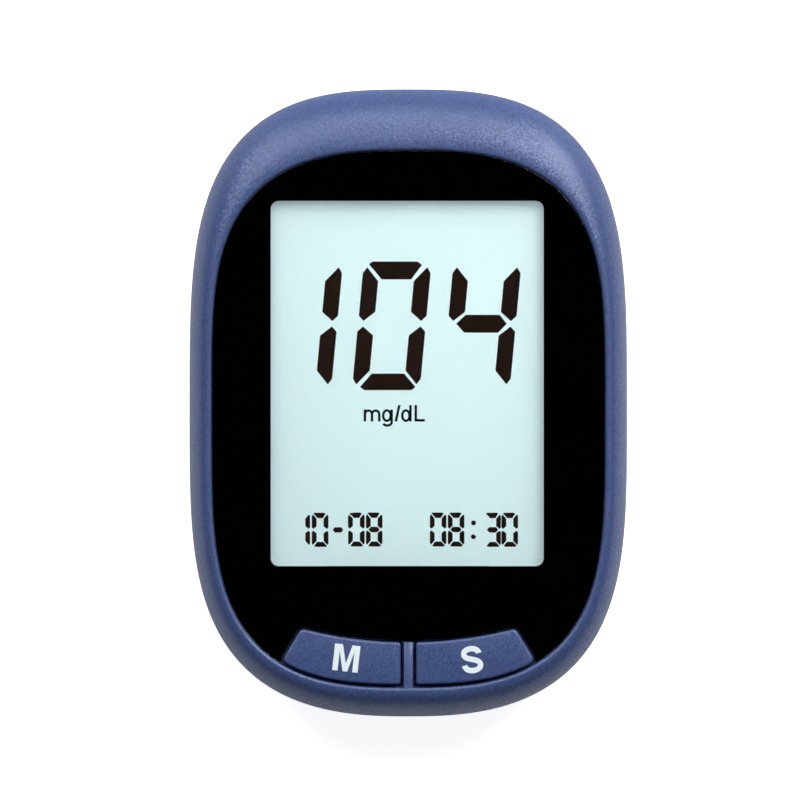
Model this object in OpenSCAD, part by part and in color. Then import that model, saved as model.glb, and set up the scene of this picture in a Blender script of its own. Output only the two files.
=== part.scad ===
// Hand-held blood glucose meter.
// It lies on its back: +Z leaves the display, +Y points to the strip port end
// and +X to the right of someone reading the display.
// The origin is the centre of the back face.

/* [Case] */
// Width of the case
case_w = 60; // [56:0.5:64]
// Length of the case, strip port end to key end
case_l = 86; // [82:0.5:90]
// Thickness of the case, back face to lip
case_t = 21; // [21:0.1:22]
// Thickness of the case walls
wall_t = 1.8; // [1.4:0.1:2]
// Height of the seam between the two housings
seam_z = 10.5; // [10:0.1:11]
// How far the back face is drawn in from the widest outline
back_inset = 4.5; // [3:0.1:5]
// Distance of the widest line below the middle of the length
waist_drop = 0.7; // [0:0.1:1.5]

/* [Lens and display] */
// Width of the opening that the lens fills
opening_w = 54; // [53:0.1:54.5]
// Top edge of the opening, from the middle of the length
opening_top = 34.6; // [34:0.1:35]
// Bottom edge of the opening, from the middle of the length
opening_bottom = 39; // [38.8:0.1:39.2]
// Thickness of the clear lens
lens_t = 1.1; // [0.8:0.1:1.2]
// Width of the clear window
window_w = 37.7; // [36:0.1:38]
// Length of the clear window
window_l = 50.2; // [48:0.1:50.5]
// Middle of the window, above the middle of the length
window_y = 2.6; // [2:0.1:3]

/* [Keys] */
// Radius of the arc along the keys' upper edges
key_inner_r = 58; // [57.5:0.1:58.5]
// Gap between the keys' lower edges and the lip
key_lip_gap = 0.45; // [0.4:0.05:0.6]
// Height of the arcs' centre above the middle of the length
key_arc_y = 25.2; // [25:0.1:25.3]
// Distance between the two keys
key_spacing = 2.1; // [1.9:0.1:2.5]
// How far a key travels
key_travel = 0.4; // [0.2:0.05:0.4]

/* [Batteries] */
// Diameter of one AAA cell
cell_d = 10.5; // [10:0.1:10.5]
// Length of one AAA cell with its nub
cell_l = 44.5; // [43.3:0.1:44.5]
// Distance between the two cells' axes
cell_spacing = 11; // [10.8:0.1:11.2]
// Width of the battery door
door_w = 26; // [25.5:0.1:27]
// Wire diameter of the battery springs
spring_wire = 0.5; // [0.4:0.05:0.5]
// Turns of each battery spring
spring_turns = 4; // [3:1:4]

/* [Board] */
// Thickness of the circuit board
board_t = 1; // [0.8:0.1:1]
// Height of the board's lower face
board_z = 14.3; // [14.2:0.05:14.3]
// Width of a test strip
strip_w = 6; // [5:0.1:7]

/* [Hidden] */
$fn = 48;

blue = [0.24, 0.31, 0.5];
dark_blue = [0.2, 0.26, 0.43];
steel = [0.7, 0.7, 0.72];
gold = [0.85, 0.68, 0.32];

// Points round one outline of the case.
sides = 72;
// How far a cut runs past the surface, and how far joined shapes overlap.
over = 1;
bond = 0.1;
// Exponents of the case outline: across and along, upper then lower half.
case_exponents = [[2.885, 3.65], [2.57, 3.74]];
// Exponents of the opening in the front, in the same order.
opening_exponents = [[2.77, 3.84], [2.8, 3.96]];
// Evens out the spacing of the outline's points.
spacing_power = 1.6;

// Front of the case, upwards from the seam.
front_h = case_t - seam_z;
rim_gap = 0.1;
tongue_h = 1;
tongue_t = 0.8;
seam_bevel = 0.25;
lip_round = 0.25;
front_steps = 8;
front_last = 78;
inner_steps = 4;
back_steps = 7;

// Lens, print and tape, down from the lip.
lens_top = case_t - 0.25;
lens_gap = 0.15;
print_t = 0.1;
tape_t = 0.15;
print_z = lens_top - lens_t - print_t;
ledge_z = print_z - tape_t;
ledge_t = 1.2;
ledge_under = ledge_z - ledge_t;
inner_last = asin((ledge_under - seam_z - seam_bevel) / (front_h - seam_bevel));
window_r = 1.1;
ledge_margin = 0.8;
tape_margin = 1.2;
tape_inset = 0.4;

// Display stack, up from the board.
board_top = board_z + board_t;
glass_w = window_w + 2.3;
glass_side = (glass_w - window_w) / 2;
glass_t = 0.7;
film_t = 0.2;
contact_ledge = 2.8;
glass_top_y = window_y + window_l / 2 + glass_side;
glass_low_y = window_y - window_l / 2 - glass_side - contact_ledge;
tray_floor = 0.8;
tray_gap = 0.05;
tray_wall = 0.75;
film_margin = 0.4;
zebra_w = 2;
zebra_gap = 0.2;
zebra_short = 1;
reflector_z = board_top + tray_floor + 2 * tray_gap;
rear_glass_z = reflector_z + film_t;
front_glass_z = rear_glass_z + glass_t;
polarizer_z = front_glass_z + glass_t;

// Keys.
key_top = case_t - 0.05;
key_bevel = 0.35;
key_gap = 0.25;
key_corner = 0.8;
key_flange = 0.6;
flange_t = 0.5;
flange_top = ledge_under - 0.1;
pad_h = 0.1;
pad_r = 1.6;
key_end_x = 16.25;
key_end_slope = 0.6;
key_end_mid_y = -33.5;
switch_x = 9;
switch_y = -35;
switch_w = 5;
cover_t = 0.2;
plunger_r = 1.2;
plunger_top = flange_top - flange_t - pad_h - 0.05;
plunger_h = 1.1;
plunger_gap = 0.15;
cover_z = plunger_top - 0.7;
bridge_w = 1.25;
bridge_half = bridge_w / 2;
lens_notch = 2;
foot_l = 5;
foot_step = 0.2;
foot_rise = 0.5;
bridge_top = case_t - 0.25;
bridge_end_y = key_arc_y - key_inner_r;

// Battery bay and door.
door_z = 0.1;
door_t = 1.4;
door_gap = 0.15;
door_top_y = 21.5;
door_low_y = -34.5;
door_l = door_top_y - door_low_y;
door_mid_y = (door_top_y + door_low_y) / 2;
door_r = 2;
shell_floor = 2;
sill_z = door_z + door_t + 0.1;
sill_t = 1.2;
sill_reach = 3;
bay_wall = 1;
bay_w = cell_spacing + cell_d + 1;
bay_top_y = 18.5;
bay_low_y = bay_top_y - cell_l - 5.5;
bay_l = bay_top_y - bay_low_y;
bay_roof = 12.9;
roof_t = 1;
cell_z = 7.25;
cell_r = cell_d / 2;
nub_r = 1.9;
nub_h = 1.1;
crimp_h = 0.6;
crimp_in = 0.3;
plate_t = 0.4;
plate_half = 3.6;
plate_low = 3.8;
plate_high = 11;
tab_half = 1;
slot_gap = 0.3;
spring_l = bay_l - 2 * plate_t - cell_l - 0.05;
coil_low_r = 3.6;
coil_high_r = 2.2;
wire_sides = 6;
rings_per_turn = 8;
coil_rings = spring_turns * rings_per_turn;
coil_pitch = (spring_l - 2 * spring_wire) / spring_turns;

// Hooks at the door's upper end and the snap at its lower end.
hook_x = 8;
hook_w = 4;
hook_t = 0.8;
hook_reach = 1.6;
hook_root = 1;
hook_gap = 0.3;
latch_w = 9;
hook_pocket_h = 1.9;
latch_pivot_z = 6;
latch_leg_t = 0.9;
latch_leg_y = -35.55;
latch_post_y = -33.75;
latch_post_t = 0.8;
latch_gap = 0.3;
latch_notch = 0.2;
latch_nose = 0.15;
latch_nose_z = shell_floor + latch_nose;
latch_nose_h = 0.7;
finger_w = 11;
finger_l = 6.5;
finger_r = 2;
finger_depth = 0.7;
finger_y = latch_leg_y - finger_l / 2;
groove_half = 5;
groove_w = 0.7;
groove_pitch = 1.6;
groove_depth = 0.35;
groove_start = 3;
label_w = 20;
label_l = 26;
label_y = 2;
label_t = 0.08;
label_r = 1;
label_sunk = 0.02;

// Board and what it carries.
board_inset = 3.9;
port_z = 11.8;
port_w = strip_w + 0.6;
port_gap = 0.2;
port_depth = 6;
slot_h = 1;
slot_back = 3;
nose_w = 11;
nose_low = 9.9;
nose_high = 13.7;
nose_end = case_l / 2 - 0.9;
connector_back = 27;
board_edge_y = case_l / 2 - 4.6;
contact_count = 5;
contact_pitch = 1.1;
contact_w = 0.6;
contact_t = 0.2;
contact_l = 8.5;
contact_gap = 0.1;

// Chips under the board: middle, then width, length and height.
processor_at = [-18.5, 12];
processor_size = [8, 8, 1.4];
measuring_at = [11.5, 26];
measuring_size = [5, 4, 1.2];
crystal_at = [-18.5, 3.5];
crystal_size = [3.2, 6, 1.6];
buzzer_at = [18.5, 6];
buzzer_r = 4.6;
buzzer_h = 3;
buzzer_hole_r = 1;
small_part = [0.9, 1.7, 0.7];
small_part_turned = [1.7, 0.9, 0.7];

// Fasteners.
upper_boss = [17.5, 32.1];
lower_boss = [18.8, -30];
boss_r = 2.2;
screw_r = 1;
screw_head_r = 2;
screw_head_z = 6;
head_t = 1.4;
screw_end = 15;
thread_gap = 0.02;
head_gap = 0.2;
shank_gap = 0.3;
head_bond = 0.2;
recess_r = 1.1;
recess_depth = 0.8;
recess_half = 0.28;
board_screw_upper = [12.5, 35.1];
board_screw_side = [23.2, -18];
board_boss_r = 1.7;
board_screw_r = 0.8;
board_head_r = 1.5;
board_head_t = 1;
board_screw_l = 3;
board_recess_r = 0.8;
board_recess_depth = 0.5;

// ---- Outlines ----

// One point of a rounded outline: half width a, half lengths b, exponents e.
function outline_point(i, a, b_top, b_low, e) =
    let(t = 360 * (i + 0.5) / sides,
        c = pow(abs(cos(t)), spacing_power),
        s = pow(abs(sin(t)), spacing_power),
        h = sqrt(c * c + s * s),
        half = sin(t) > 0 ? e[0] : e[1],
        b = sin(t) > 0 ? b_top : b_low)
    [sign(cos(t)) * a * pow(c / h, 2 / half[0]),
     sign(sin(t)) * b * pow(s / h, 2 / half[1]) - waist_drop];

function case_point(i) =
    outline_point(i, case_w / 2, case_l / 2 + waist_drop,
                  case_l / 2 - waist_drop, case_exponents);

function opening_point(i) =
    outline_point(i, opening_w / 2, opening_top + waist_drop,
                  opening_bottom - waist_drop, opening_exponents);

// Outline that lies a share w of the way from the case to the opening.
function blended(w) =
    [for (i = [0 : sides - 1]) case_point(i) * (1 - w) + opening_point(i) * w];

// Moves a counter-clockwise outline inwards by d.
function inset(path, d) =
    let(n = len(path))
    [for (i = [0 : n - 1])
        let(before = path[(i + n - 1) % n],
            here = path[i],
            after = path[(i + 1) % n],
            u = (here - before) / norm(here - before),
            v = (after - here) / norm(after - here),
            m = u + v,
            normal = [-m[1], m[0]] / norm(m),
            stretch = 1 / max(0.5, norm(m) / 2))
        here + normal * d * stretch];

function lift(path, z) = [for (p = path) [p[0], p[1], z]];

// Rounds each corner [x, y, radius] of a path, in the path's own direction.
function rounded(path, steps = 4) =
    let(n = len(path))
    [for (i = [0 : n - 1])
        let(here = [path[i][0], path[i][1]],
            before = path[(i + n - 1) % n],
            after = path[(i + 1) % n],
            r = path[i][2],
            u = [before[0], before[1]] - here,
            v = [after[0], after[1]] - here,
            uu = u / norm(u),
            vv = v / norm(v),
            half = acos(min(1, max(-1, uu * vv))) / 2,
            back = r > 0 ? r / tan(half) : 0,
            middle = here + (uu + vv) / max(0.001, norm(uu + vv)) * (r / sin(half)),
            from = here + uu * back - middle,
            to = here + vv * back - middle)
        each r == 0 ? [here]
            : [for (k = [0 : steps])
                let(w = k / steps,
                    turn = 180 - 2 * half,
                    a = sin((1 - w) * turn) / sin(turn),
                    b = sin(w * turn) / sin(turn))
                middle + from * a + to * b]];

function rounded_box(w, l, r, y = 0) =
    rounded([[w / 2, y - l / 2, r], [w / 2, y + l / 2, r],
             [-w / 2, y + l / 2, r], [-w / 2, y - l / 2, r]]);

// The right key, grown outwards by g: its slanted end, upper and lower edges.
function key_end(y, g) =
    key_end_x + g * norm([1, key_end_slope]) - key_end_slope * (y - key_end_mid_y);

function key_upper(x, g) =
    key_arc_y - sqrt(pow(key_inner_r - g, 2) - x * x);

function key_lower(x, g) =
    let(e = opening_exponents[1],
        reach = pow(1 - pow(x / (opening_w / 2), e[0]), 1 / e[1]))
    key_lip_gap - g - waist_drop - (opening_bottom - waist_drop) * reach;

// Where the slanted end meets the upper or lower edge, by repeated correction.
function upper_corner_x(g, x = key_end_x, n = 5) =
    n == 0 ? x : upper_corner_x(g, key_end(key_upper(x, g), g), n - 1);

function lower_corner_x(g, x = key_end_x, n = 8) =
    n == 0 ? x : lower_corner_x(g, key_end(key_lower(x, g), g), n - 1);

function key_outline(g) =
    let(x0 = key_spacing / 2 - g,
        x_up = upper_corner_x(g),
        x_low = lower_corner_x(g),
        corner = key_corner + g,
        steps = 6)
    rounded(concat(
        [[x0, key_lower(x0, g), corner / 2]],
        [for (k = [1 : steps - 1])
            let(x = x0 + (x_low - x0) * k / steps) [x, key_lower(x, g), 0]],
        [[x_low, key_lower(x_low, g), corner]],
        [[x_up, key_upper(x_up, g), corner]],
        [for (k = [steps - 1 : -1 : 1])
            let(x = x0 + (x_up - x0) * k / steps) [x, key_upper(x, g), 0]],
        [[x0, key_upper(x0, g), corner / 2]]));

function mirrored(path) = [for (i = [len(path) - 1 : -1 : 0]) [-path[i][0], path[i][1]]];

// ---- Building blocks ----

// Closed skin through a list of rings that have equally many points.
module loft(rings) {
    n = len(rings[0]);
    last = len(rings) - 1;
    points = [for (ring = rings) each ring];
    bottom = [[for (i = [0 : n - 1]) i]];
    top = [[for (i = [n - 1 : -1 : 0]) last * n + i]];
    skin = [for (k = [0 : last - 1], i = [0 : n - 1])
        let(a = k * n + i,
            b = k * n + (i + 1) % n,
            c = b + n,
            d = a + n)
        each [[a, d, b], [b, d, c]]];
    polyhedron(points, concat(bottom, skin, top));
}

module slab(path, z, h) {
    translate([0, 0, z]) linear_extrude(h) polygon(path);
}

module box(x0, x1, y0, y1, z0, z1) {
    translate([x0, y0, z0]) cube([x1 - x0, y1 - y0, z1 - z0]);
}

module mirror_x() {
    children();
    mirror([1, 0, 0]) children();
}

module post(p, r, z0, z1) {
    translate([p[0], p[1], z0]) cylinder(r = r, h = z1 - z0);
}

// ---- Housings ----

// Share of the way to the opening, and height, at angle a of the front's curve.
function front_share(a) = 1 - cos(a);
function front_z(a) = seam_z + seam_bevel + (front_h - seam_bevel) * sin(a);

module front_skin() {
    outer = [for (k = [0 : front_steps])
        let(a = front_last * k / front_steps)
        lift(blended(front_share(a)), front_z(a))];
    inner = [for (k = [inner_steps : -1 : 0])
        let(a = inner_last * k / inner_steps)
        lift(inset(blended(front_share(a)), wall_t),
             max(front_z(a), seam_z + tongue_h + rim_gap))];
    crest = blended(1);
    loft(concat(
        inner,
        [lift(inset(blended(0), wall_t - tongue_t), seam_z + tongue_h + rim_gap)],
        [lift(inset(blended(0), wall_t - tongue_t), seam_z)],
        [lift(inset(blended(0), seam_bevel), seam_z)],
        outer,
        [lift(inset(crest, -lip_round), case_t)],
        [lift(crest, case_t - lip_round)],
        [lift(crest, ledge_z)]));
}

module port_hole() {
    box(-nose_w / 2 - port_gap, nose_w / 2 + port_gap, case_l / 2 - port_depth, case_l,
        nose_low - port_gap, nose_high + port_gap);
}

module front_housing() {
    color(blue) difference() {
        union() {
            difference() {
                front_skin();
                slab(rounded_box(window_w + 2 * ledge_margin, window_l + 2 * ledge_margin,
                                 window_r + ledge_margin / 2, window_y),
                     ledge_under - over, ledge_t + 2 * over);
                slab(key_outline(key_gap), ledge_under - over, ledge_t + 2 * over);
                slab(mirrored(key_outline(key_gap)), ledge_under - over, ledge_t + 2 * over);
            }
            mirror_x() post(upper_boss, boss_r, seam_z, ledge_under + bond);
            mirror_x() post(lower_boss, boss_r, seam_z, ledge_under + bond);
            mirror_x() post(board_screw_upper, board_boss_r, board_top, ledge_under + bond);
            mirror_x() post(board_screw_side, board_boss_r, board_top, ledge_under + bond);
            box(-bridge_half, bridge_half, -opening_bottom - lip_round, bridge_end_y,
                ledge_z - bond, bridge_top);
        }
        mirror_x() post(upper_boss, screw_r + thread_gap, seam_z - over, screw_end + over);
        mirror_x() post(lower_boss, screw_r + thread_gap, seam_z - over, screw_end + over);
        mirror_x() post(board_screw_upper, board_screw_r + thread_gap,
                        board_top - over, board_top + board_screw_l - thread_gap);
        mirror_x() post(board_screw_side, board_screw_r + thread_gap,
                        board_top - over, board_top + board_screw_l - thread_gap);
        port_hole();
    }
}

// Inset and height of the back's rounding at angle a below the seam.
function back_in(a) = back_inset * (1 - cos(a));
function back_z(a) = (seam_z - seam_bevel) * (1 - sin(a));

module rear_skin() {
    outer = [for (k = [back_steps : -1 : 0])
        let(a = 90 * k / back_steps)
        lift(inset(blended(0), back_in(a)), back_z(a))];
    floor_a = asin(1 - shell_floor / (seam_z - seam_bevel));
    inner = [for (k = [0 : back_steps - 2])
        let(a = floor_a * k / (back_steps - 2))
        lift(inset(blended(0), wall_t + back_in(a)), back_z(a))];
    loft(concat(
        outer,
        [lift(inset(blended(0), seam_bevel), seam_z)],
        [lift(inset(blended(0), wall_t - tongue_t + rim_gap), seam_z)],
        [lift(inset(blended(0), wall_t - tongue_t + rim_gap), seam_z + tongue_h)],
        [lift(inset(blended(0), wall_t), seam_z + tongue_h)],
        inner));
}

module bay_block() {
    box(-bay_w / 2 - bay_wall, bay_w / 2 + bay_wall,
        bay_low_y - bay_wall, bay_top_y + bay_wall, sill_z, bay_roof + roof_t);
    slab(rounded_box(door_w + 2 * sill_reach, door_l + 2 * sill_reach, door_r, door_mid_y),
         sill_z, sill_t);
}

module hook_pocket() {
    mirror_x() box(hook_x - hook_w / 2 - hook_gap, hook_x + hook_w / 2 + hook_gap,
                   bay_top_y - bond, door_top_y + hook_reach + 2 * hook_gap,
                   sill_z - bond, sill_z + hook_pocket_h);
}

module latch_pocket() {
    box(-latch_w / 2 - latch_gap, latch_w / 2 + latch_gap,
        latch_leg_y - latch_leg_t / 2 - latch_gap, bay_low_y - bay_wall,
        -over, sill_z + sill_t + over);
}

// Where a contact's tab rises through the roof of the bay to the board.
module contact_slot(x) {
    box(x - tab_half - slot_gap, x + tab_half + slot_gap,
        bay_top_y - plate_t - slot_gap - bond, bay_top_y + bond,
        bay_roof - over, bay_roof + roof_t + over);
}

module rear_housing() {
    color(dark_blue) difference() {
        union() {
            rear_skin();
            bay_block();
            mirror_x() post(upper_boss, screw_head_r + 1, over, seam_z - rim_gap);
            mirror_x() post(lower_boss, screw_head_r + 1, over, seam_z - rim_gap);
        }
        box(-bay_w / 2, bay_w / 2, bay_low_y, bay_top_y, -over, bay_roof);
        slab(rounded_box(door_w + 2 * door_gap, door_l + 2 * door_gap, door_r, door_mid_y),
             -over, sill_z + over);
        hook_pocket();
        latch_pocket();
        contact_slot(-cell_spacing / 2);
        contact_slot(cell_spacing / 2);
        mirror_x() for (p = [upper_boss, lower_boss]) {
            post(p, screw_head_r + head_gap, -over, screw_head_z);
            post(p, screw_r + shank_gap, screw_head_z - over, seam_z + over);
        }
        slab(rounded_box(finger_w, finger_l, finger_r, finger_y), -over, over + finger_depth);
        port_hole();
    }
}

module cross_recess(z, r, depth) {
    for (turn = [0, 90])
        rotate(turn) box(-r, r, -recess_half, recess_half, z - bond, z + depth);
}

module housing_screws() {
    color(steel) mirror_x() for (p = [upper_boss, lower_boss])
        translate([p[0], p[1], 0]) difference() {
            union() {
                translate([0, 0, screw_head_z - head_t]) cylinder(r = screw_head_r, h = head_t);
                translate([0, 0, screw_head_z - head_bond])
                    cylinder(r = screw_r, h = screw_end - screw_head_z + head_bond);
            }
            cross_recess(screw_head_z - head_t, recess_r, recess_depth);
        }
}

module rear_label() {
    color("gainsboro")
        slab(rounded_box(label_w, label_l, label_r, label_y), door_z + label_sunk, label_t);
}

// ---- Lens ----

// Outline of everything under the lens, without the keys' place.
module lens_face(g) {
    difference() {
        polygon(inset(blended(1), g));
        polygon(key_outline(key_gap + 0.05));
        polygon(mirrored(key_outline(key_gap + 0.05)));
        translate([-lens_notch, -opening_bottom - lens_notch])
            square([2 * lens_notch, opening_bottom + lens_notch + bridge_end_y + lens_gap]);
        key_foot();
        mirror([1, 0]) key_foot();
    }
}

// Strip between a key's lower edge and the lip, which the lens leaves free.
module key_foot() {
    x = lower_corner_x(key_gap);
    y = key_lower(x, key_gap);
    polygon([[0, y - foot_l], [x, y - foot_l], [x, y - foot_step],
             [x - key_corner, y + foot_rise], [0, y + foot_rise]]);
}

module window_hole(g) {
    polygon(rounded_box(window_w + 2 * g, window_l + 2 * g, window_r + g, window_y));
}

module display_lens() {
    color([0.85, 0.9, 0.92, 0.3])
        translate([0, 0, lens_top - lens_t]) linear_extrude(lens_t) lens_face(lens_gap);
}

module lens_print() {
    color([0.01, 0.01, 0.01]) translate([0, 0, print_z]) linear_extrude(print_t)
        difference() {
            lens_face(lens_gap);
            window_hole(0);
        }
}

module lens_tape() {
    color([0.1, 0.1, 0.1]) translate([0, 0, ledge_z]) linear_extrude(tape_t)
        difference() {
            lens_face(lens_gap + tape_inset);
            window_hole(tape_margin);
        }
}

// ---- Display ----

module glass_sheet(low_y, z, t, margin) {
    box(-glass_w / 2 + margin, glass_w / 2 - margin, low_y + margin, glass_top_y - margin, z, z + t);
}

module lcd_front_polarizer() {
    color([0.75, 0.86, 0.87, 0.8])
        glass_sheet(glass_low_y + contact_ledge, polarizer_z, film_t, film_margin);
}

module lcd_front_glass() {
    color([0.82, 0.92, 0.92, 0.7]) glass_sheet(glass_low_y, front_glass_z, glass_t, 0);
}

module lcd_rear_glass() {
    color([0.82, 0.92, 0.92, 0.7])
        glass_sheet(glass_low_y + contact_ledge, rear_glass_z, glass_t, 0);
}

module lcd_reflector() {
    color([0.82, 0.92, 0.93])
        glass_sheet(glass_low_y + contact_ledge, reflector_z, film_t, film_margin);
}

module lcd_frame() {
    out = tray_gap + tray_wall;
    color("white") difference() {
        box(-glass_w / 2 - out, glass_w / 2 + out, glass_low_y - out, glass_top_y + out,
            board_top + tray_gap, polarizer_z);
        box(-glass_w / 2 - tray_gap, glass_w / 2 + tray_gap, glass_low_y - tray_gap,
            glass_top_y + tray_gap, board_top + tray_gap + tray_floor, polarizer_z + over);
        box(-glass_w / 2 + zebra_short / 2, glass_w / 2 - zebra_short / 2,
            glass_low_y + zebra_gap, glass_low_y + zebra_w + 3 * zebra_gap,
            board_top - over, polarizer_z);
    }
}

module zebra_strip() {
    color([0.85, 0.5, 0.6])
        box(-glass_w / 2 + zebra_short, glass_w / 2 - zebra_short,
            glass_low_y + 2 * zebra_gap, glass_low_y + 2 * zebra_gap + zebra_w,
            board_top, front_glass_z);
}

// ---- Keys and their switches ----

module key(side) {
    shape = side > 0 ? key_outline(0) : mirrored(key_outline(0));
    rim = side > 0 ? key_outline(key_gap + key_flange)
                   : mirrored(key_outline(key_gap + key_flange));
    color(blue) {
        loft([lift(shape, flange_top - 2 * bond),
              lift(shape, key_top - key_bevel),
              lift(inset(shape, key_bevel * 0.3), key_top - key_bevel * 0.3),
              lift(inset(shape, key_bevel), key_top)]);
        intersection() {
            slab(rim, flange_top - flange_t, flange_t);
            translate([side > 0 ? bridge_half : -case_w, -case_l, 0])
                cube([case_w - bridge_half, case_l, case_t]);
        }
        post([side * switch_x, switch_y], pad_r,
             flange_top - flange_t - pad_h, flange_top - bond);
    }
}

module m_button() { key(-1); }
module s_button() { key(1); }

module switch_base(side) {
    color([0.1, 0.1, 0.11]) difference() {
        box(side * switch_x - switch_w / 2, side * switch_x + switch_w / 2,
            switch_y - switch_w / 2, switch_y + switch_w / 2, board_top, cover_z);
        post([side * switch_x, switch_y], plunger_r + plunger_gap,
             plunger_top - plunger_h - key_travel - 0.05, cover_z + over);
    }
}

module switch_cover(side) {
    color(steel) difference() {
        box(side * switch_x - switch_w / 2, side * switch_x + switch_w / 2,
            switch_y - switch_w / 2, switch_y + switch_w / 2, cover_z, cover_z + cover_t);
        post([side * switch_x, switch_y], plunger_r + plunger_gap, cover_z - over, cover_z + over);
    }
}

module switch_plunger(side) {
    color([0.75, 0.2, 0.15])
        post([side * switch_x, switch_y], plunger_r, plunger_top - plunger_h, plunger_top);
}

module m_switch_base() { switch_base(-1); }
module s_switch_base() { switch_base(1); }
module m_switch_cover() { switch_cover(-1); }
module s_switch_cover() { switch_cover(1); }
module m_switch_plunger() { switch_plunger(-1); }
module s_switch_plunger() { switch_plunger(1); }

// ---- Board ----

module main_board() {
    color([0.1, 0.4, 0.2]) difference() {
        slab(inset(blended(0), board_inset), board_z, board_t);
        mirror_x() for (p = [upper_boss, lower_boss])
            post(p, boss_r + 2 * shank_gap, board_z - over, board_top + over);
        mirror_x() for (p = [board_screw_upper, board_screw_side])
            post(p, board_screw_r + shank_gap / 2, board_z - over, board_top + over);
    }
}

module board_part(at, size) {
    translate([at[0] - size[0] / 2, at[1] - size[1] / 2, board_z - size[2]]) cube(size);
}

module processor() {
    color([0.08, 0.08, 0.09]) board_part(processor_at, processor_size);
}

module measuring_chip() {
    color([0.08, 0.08, 0.09]) board_part(measuring_at, measuring_size);
}

module crystal() {
    color(steel) board_part(crystal_at, crystal_size);
}

module buzzer() {
    color([0.12, 0.12, 0.12])
        translate([buzzer_at[0], buzzer_at[1], board_z - buzzer_h]) difference() {
            cylinder(r = buzzer_r, h = buzzer_h);
            translate([0, 0, -over]) cylinder(r = buzzer_hole_r, h = buzzer_h / 2 + over);
        }
}

module chip_parts() {
    color([0.7, 0.62, 0.5]) {
        for (k = [0 : 4]) board_part([-22 + 1.8 * k, 20], small_part);
        for (k = [0 : 4]) board_part([-18, -4 - 2.2 * k], small_part_turned);
        for (k = [0 : 3]) board_part([18, -4 - 2.2 * k], small_part_turned);
        for (k = [0 : 2]) board_part([-12 + 2 * k, 26.5], small_part);
    }
}

module board_screws() {
    color(steel) mirror_x() for (p = [board_screw_upper, board_screw_side])
        translate([p[0], p[1], 0]) difference() {
            union() {
                translate([0, 0, board_z - board_head_t])
                    cylinder(r = board_head_r, h = board_head_t);
                translate([0, 0, board_z - bond])
                    cylinder(r = board_screw_r, h = board_screw_l);
            }
            cross_recess(board_z - board_head_t, board_recess_r, board_recess_depth);
        }
}

// ---- Strip port ----

function contact_x(k) = (k - (contact_count - 1) / 2) * contact_pitch;

module strip_connector() {
    color([0.12, 0.12, 0.13]) difference() {
        union() {
            box(-nose_w / 2, nose_w / 2, connector_back, board_edge_y, nose_low, board_z);
            box(-nose_w / 2, nose_w / 2, board_edge_y - over, nose_end, nose_low, nose_high);
        }
        box(-port_w / 2, port_w / 2, connector_back + slot_back, case_l, port_z - slot_h / 2,
            port_z + slot_h / 2);
        for (k = [0 : contact_count - 1])
            box(contact_x(k) - contact_w / 2 - contact_gap, contact_x(k) + contact_w / 2 + contact_gap,
                connector_back - over, board_edge_y - 2 * over, port_z - slot_h / 2, board_z + over);
    }
}

// Each contact lies under the board, bends down into the slot and springs up again.
module strip_contacts() {
    low = port_z + contact_gap;
    mid = low + 1.2;
    high = board_z;
    y0 = connector_back - 1;
    y1 = y0 + contact_l;
    color(gold) for (k = [0 : contact_count - 1])
        translate([contact_x(k) - contact_w / 2, 0, 0]) rotate([90, 0, 90])
            linear_extrude(contact_w)
                polygon([[y0, high - contact_t], [y0 + 1.5, high - contact_t],
                         [y0 + 2.2, mid], [y1 - 2, low], [y1, low + 0.7],
                         [y1, low + 0.7 + contact_t], [y1 - 2, low + contact_t],
                         [y0 + 2.4, mid + contact_t], [y0 + 1.7, high], [y0, high]]);
}

// ---- Power ----

module cell(x, up) {
    y0 = up > 0 ? bay_low_y + plate_t + spring_l : bay_low_y + plate_t + 0.05;
    flip = up > 0 ? 0 : 1;
    translate([x, y0 + flip * cell_l, cell_z]) rotate([-90 + 180 * flip, 0, 0]) {
        cylinder(r = cell_r - crimp_in, h = crimp_h);
        translate([0, 0, crimp_h - bond])
            cylinder(r = cell_r, h = cell_l - nub_h - 2 * (crimp_h - bond));
        cylinder(r = cell_r - 2 * crimp_in, h = cell_l - nub_h);
        cylinder(r = nub_r, h = cell_l);
    }
}

module battery_left() { color([0.25, 0.27, 0.3]) cell(-cell_spacing / 2, 1); }
module battery_right() { color([0.25, 0.27, 0.3]) cell(cell_spacing / 2, -1); }

module end_plate(x, y) {
    box(x - plate_half, x + plate_half, y, y + plate_t, plate_low, plate_high);
    box(x - tab_half, x + tab_half, y, y + plate_t, plate_high - bond, board_z);
}

module plus_contact() {
    color(steel) end_plate(-cell_spacing / 2, bay_top_y - plate_t);
}

module minus_contact() {
    color(steel) end_plate(cell_spacing / 2, bay_top_y - plate_t);
}

module link_contact() {
    color(steel) box(-cell_spacing / 2 - plate_half, cell_spacing / 2 + plate_half,
                     bay_low_y, bay_low_y + plate_t, plate_low, plate_high);
}

// Middle of the wire of a conical spring that winds up along +Y from the origin.
function coil_centre(k) =
    let(w = k / coil_rings,
        r = coil_low_r + (coil_high_r - coil_low_r) * w,
        a = 360 * w * spring_turns)
    [r * cos(a), spring_wire + coil_pitch * spring_turns * w, r * sin(a)];

// The wire runs straight off the plate for one diameter, winds up, and ends straight.
coil_path = concat([[coil_low_r, 0, 0]],
                   [for (k = [0 : coil_rings]) coil_centre(k)],
                   [[coil_high_r, spring_l, 0]]);

function wire_ring(k) =
    let(n = len(coil_path),
        before = coil_path[max(0, k - 1)],
        after = coil_path[min(n - 1, k + 1)],
        t = (after - before) / norm(after - before),
        here = coil_path[k],
        out = [here[0], 0, here[2]] / norm([here[0], 0, here[2]]),
        side = cross(t, out),
        u = side / norm(side),
        v = cross(u, t))
    [for (j = [0 : wire_sides - 1])
        let(a = 360 * j / wire_sides)
        here + (u * cos(a) + v * sin(a)) * spring_wire / 2];

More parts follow.
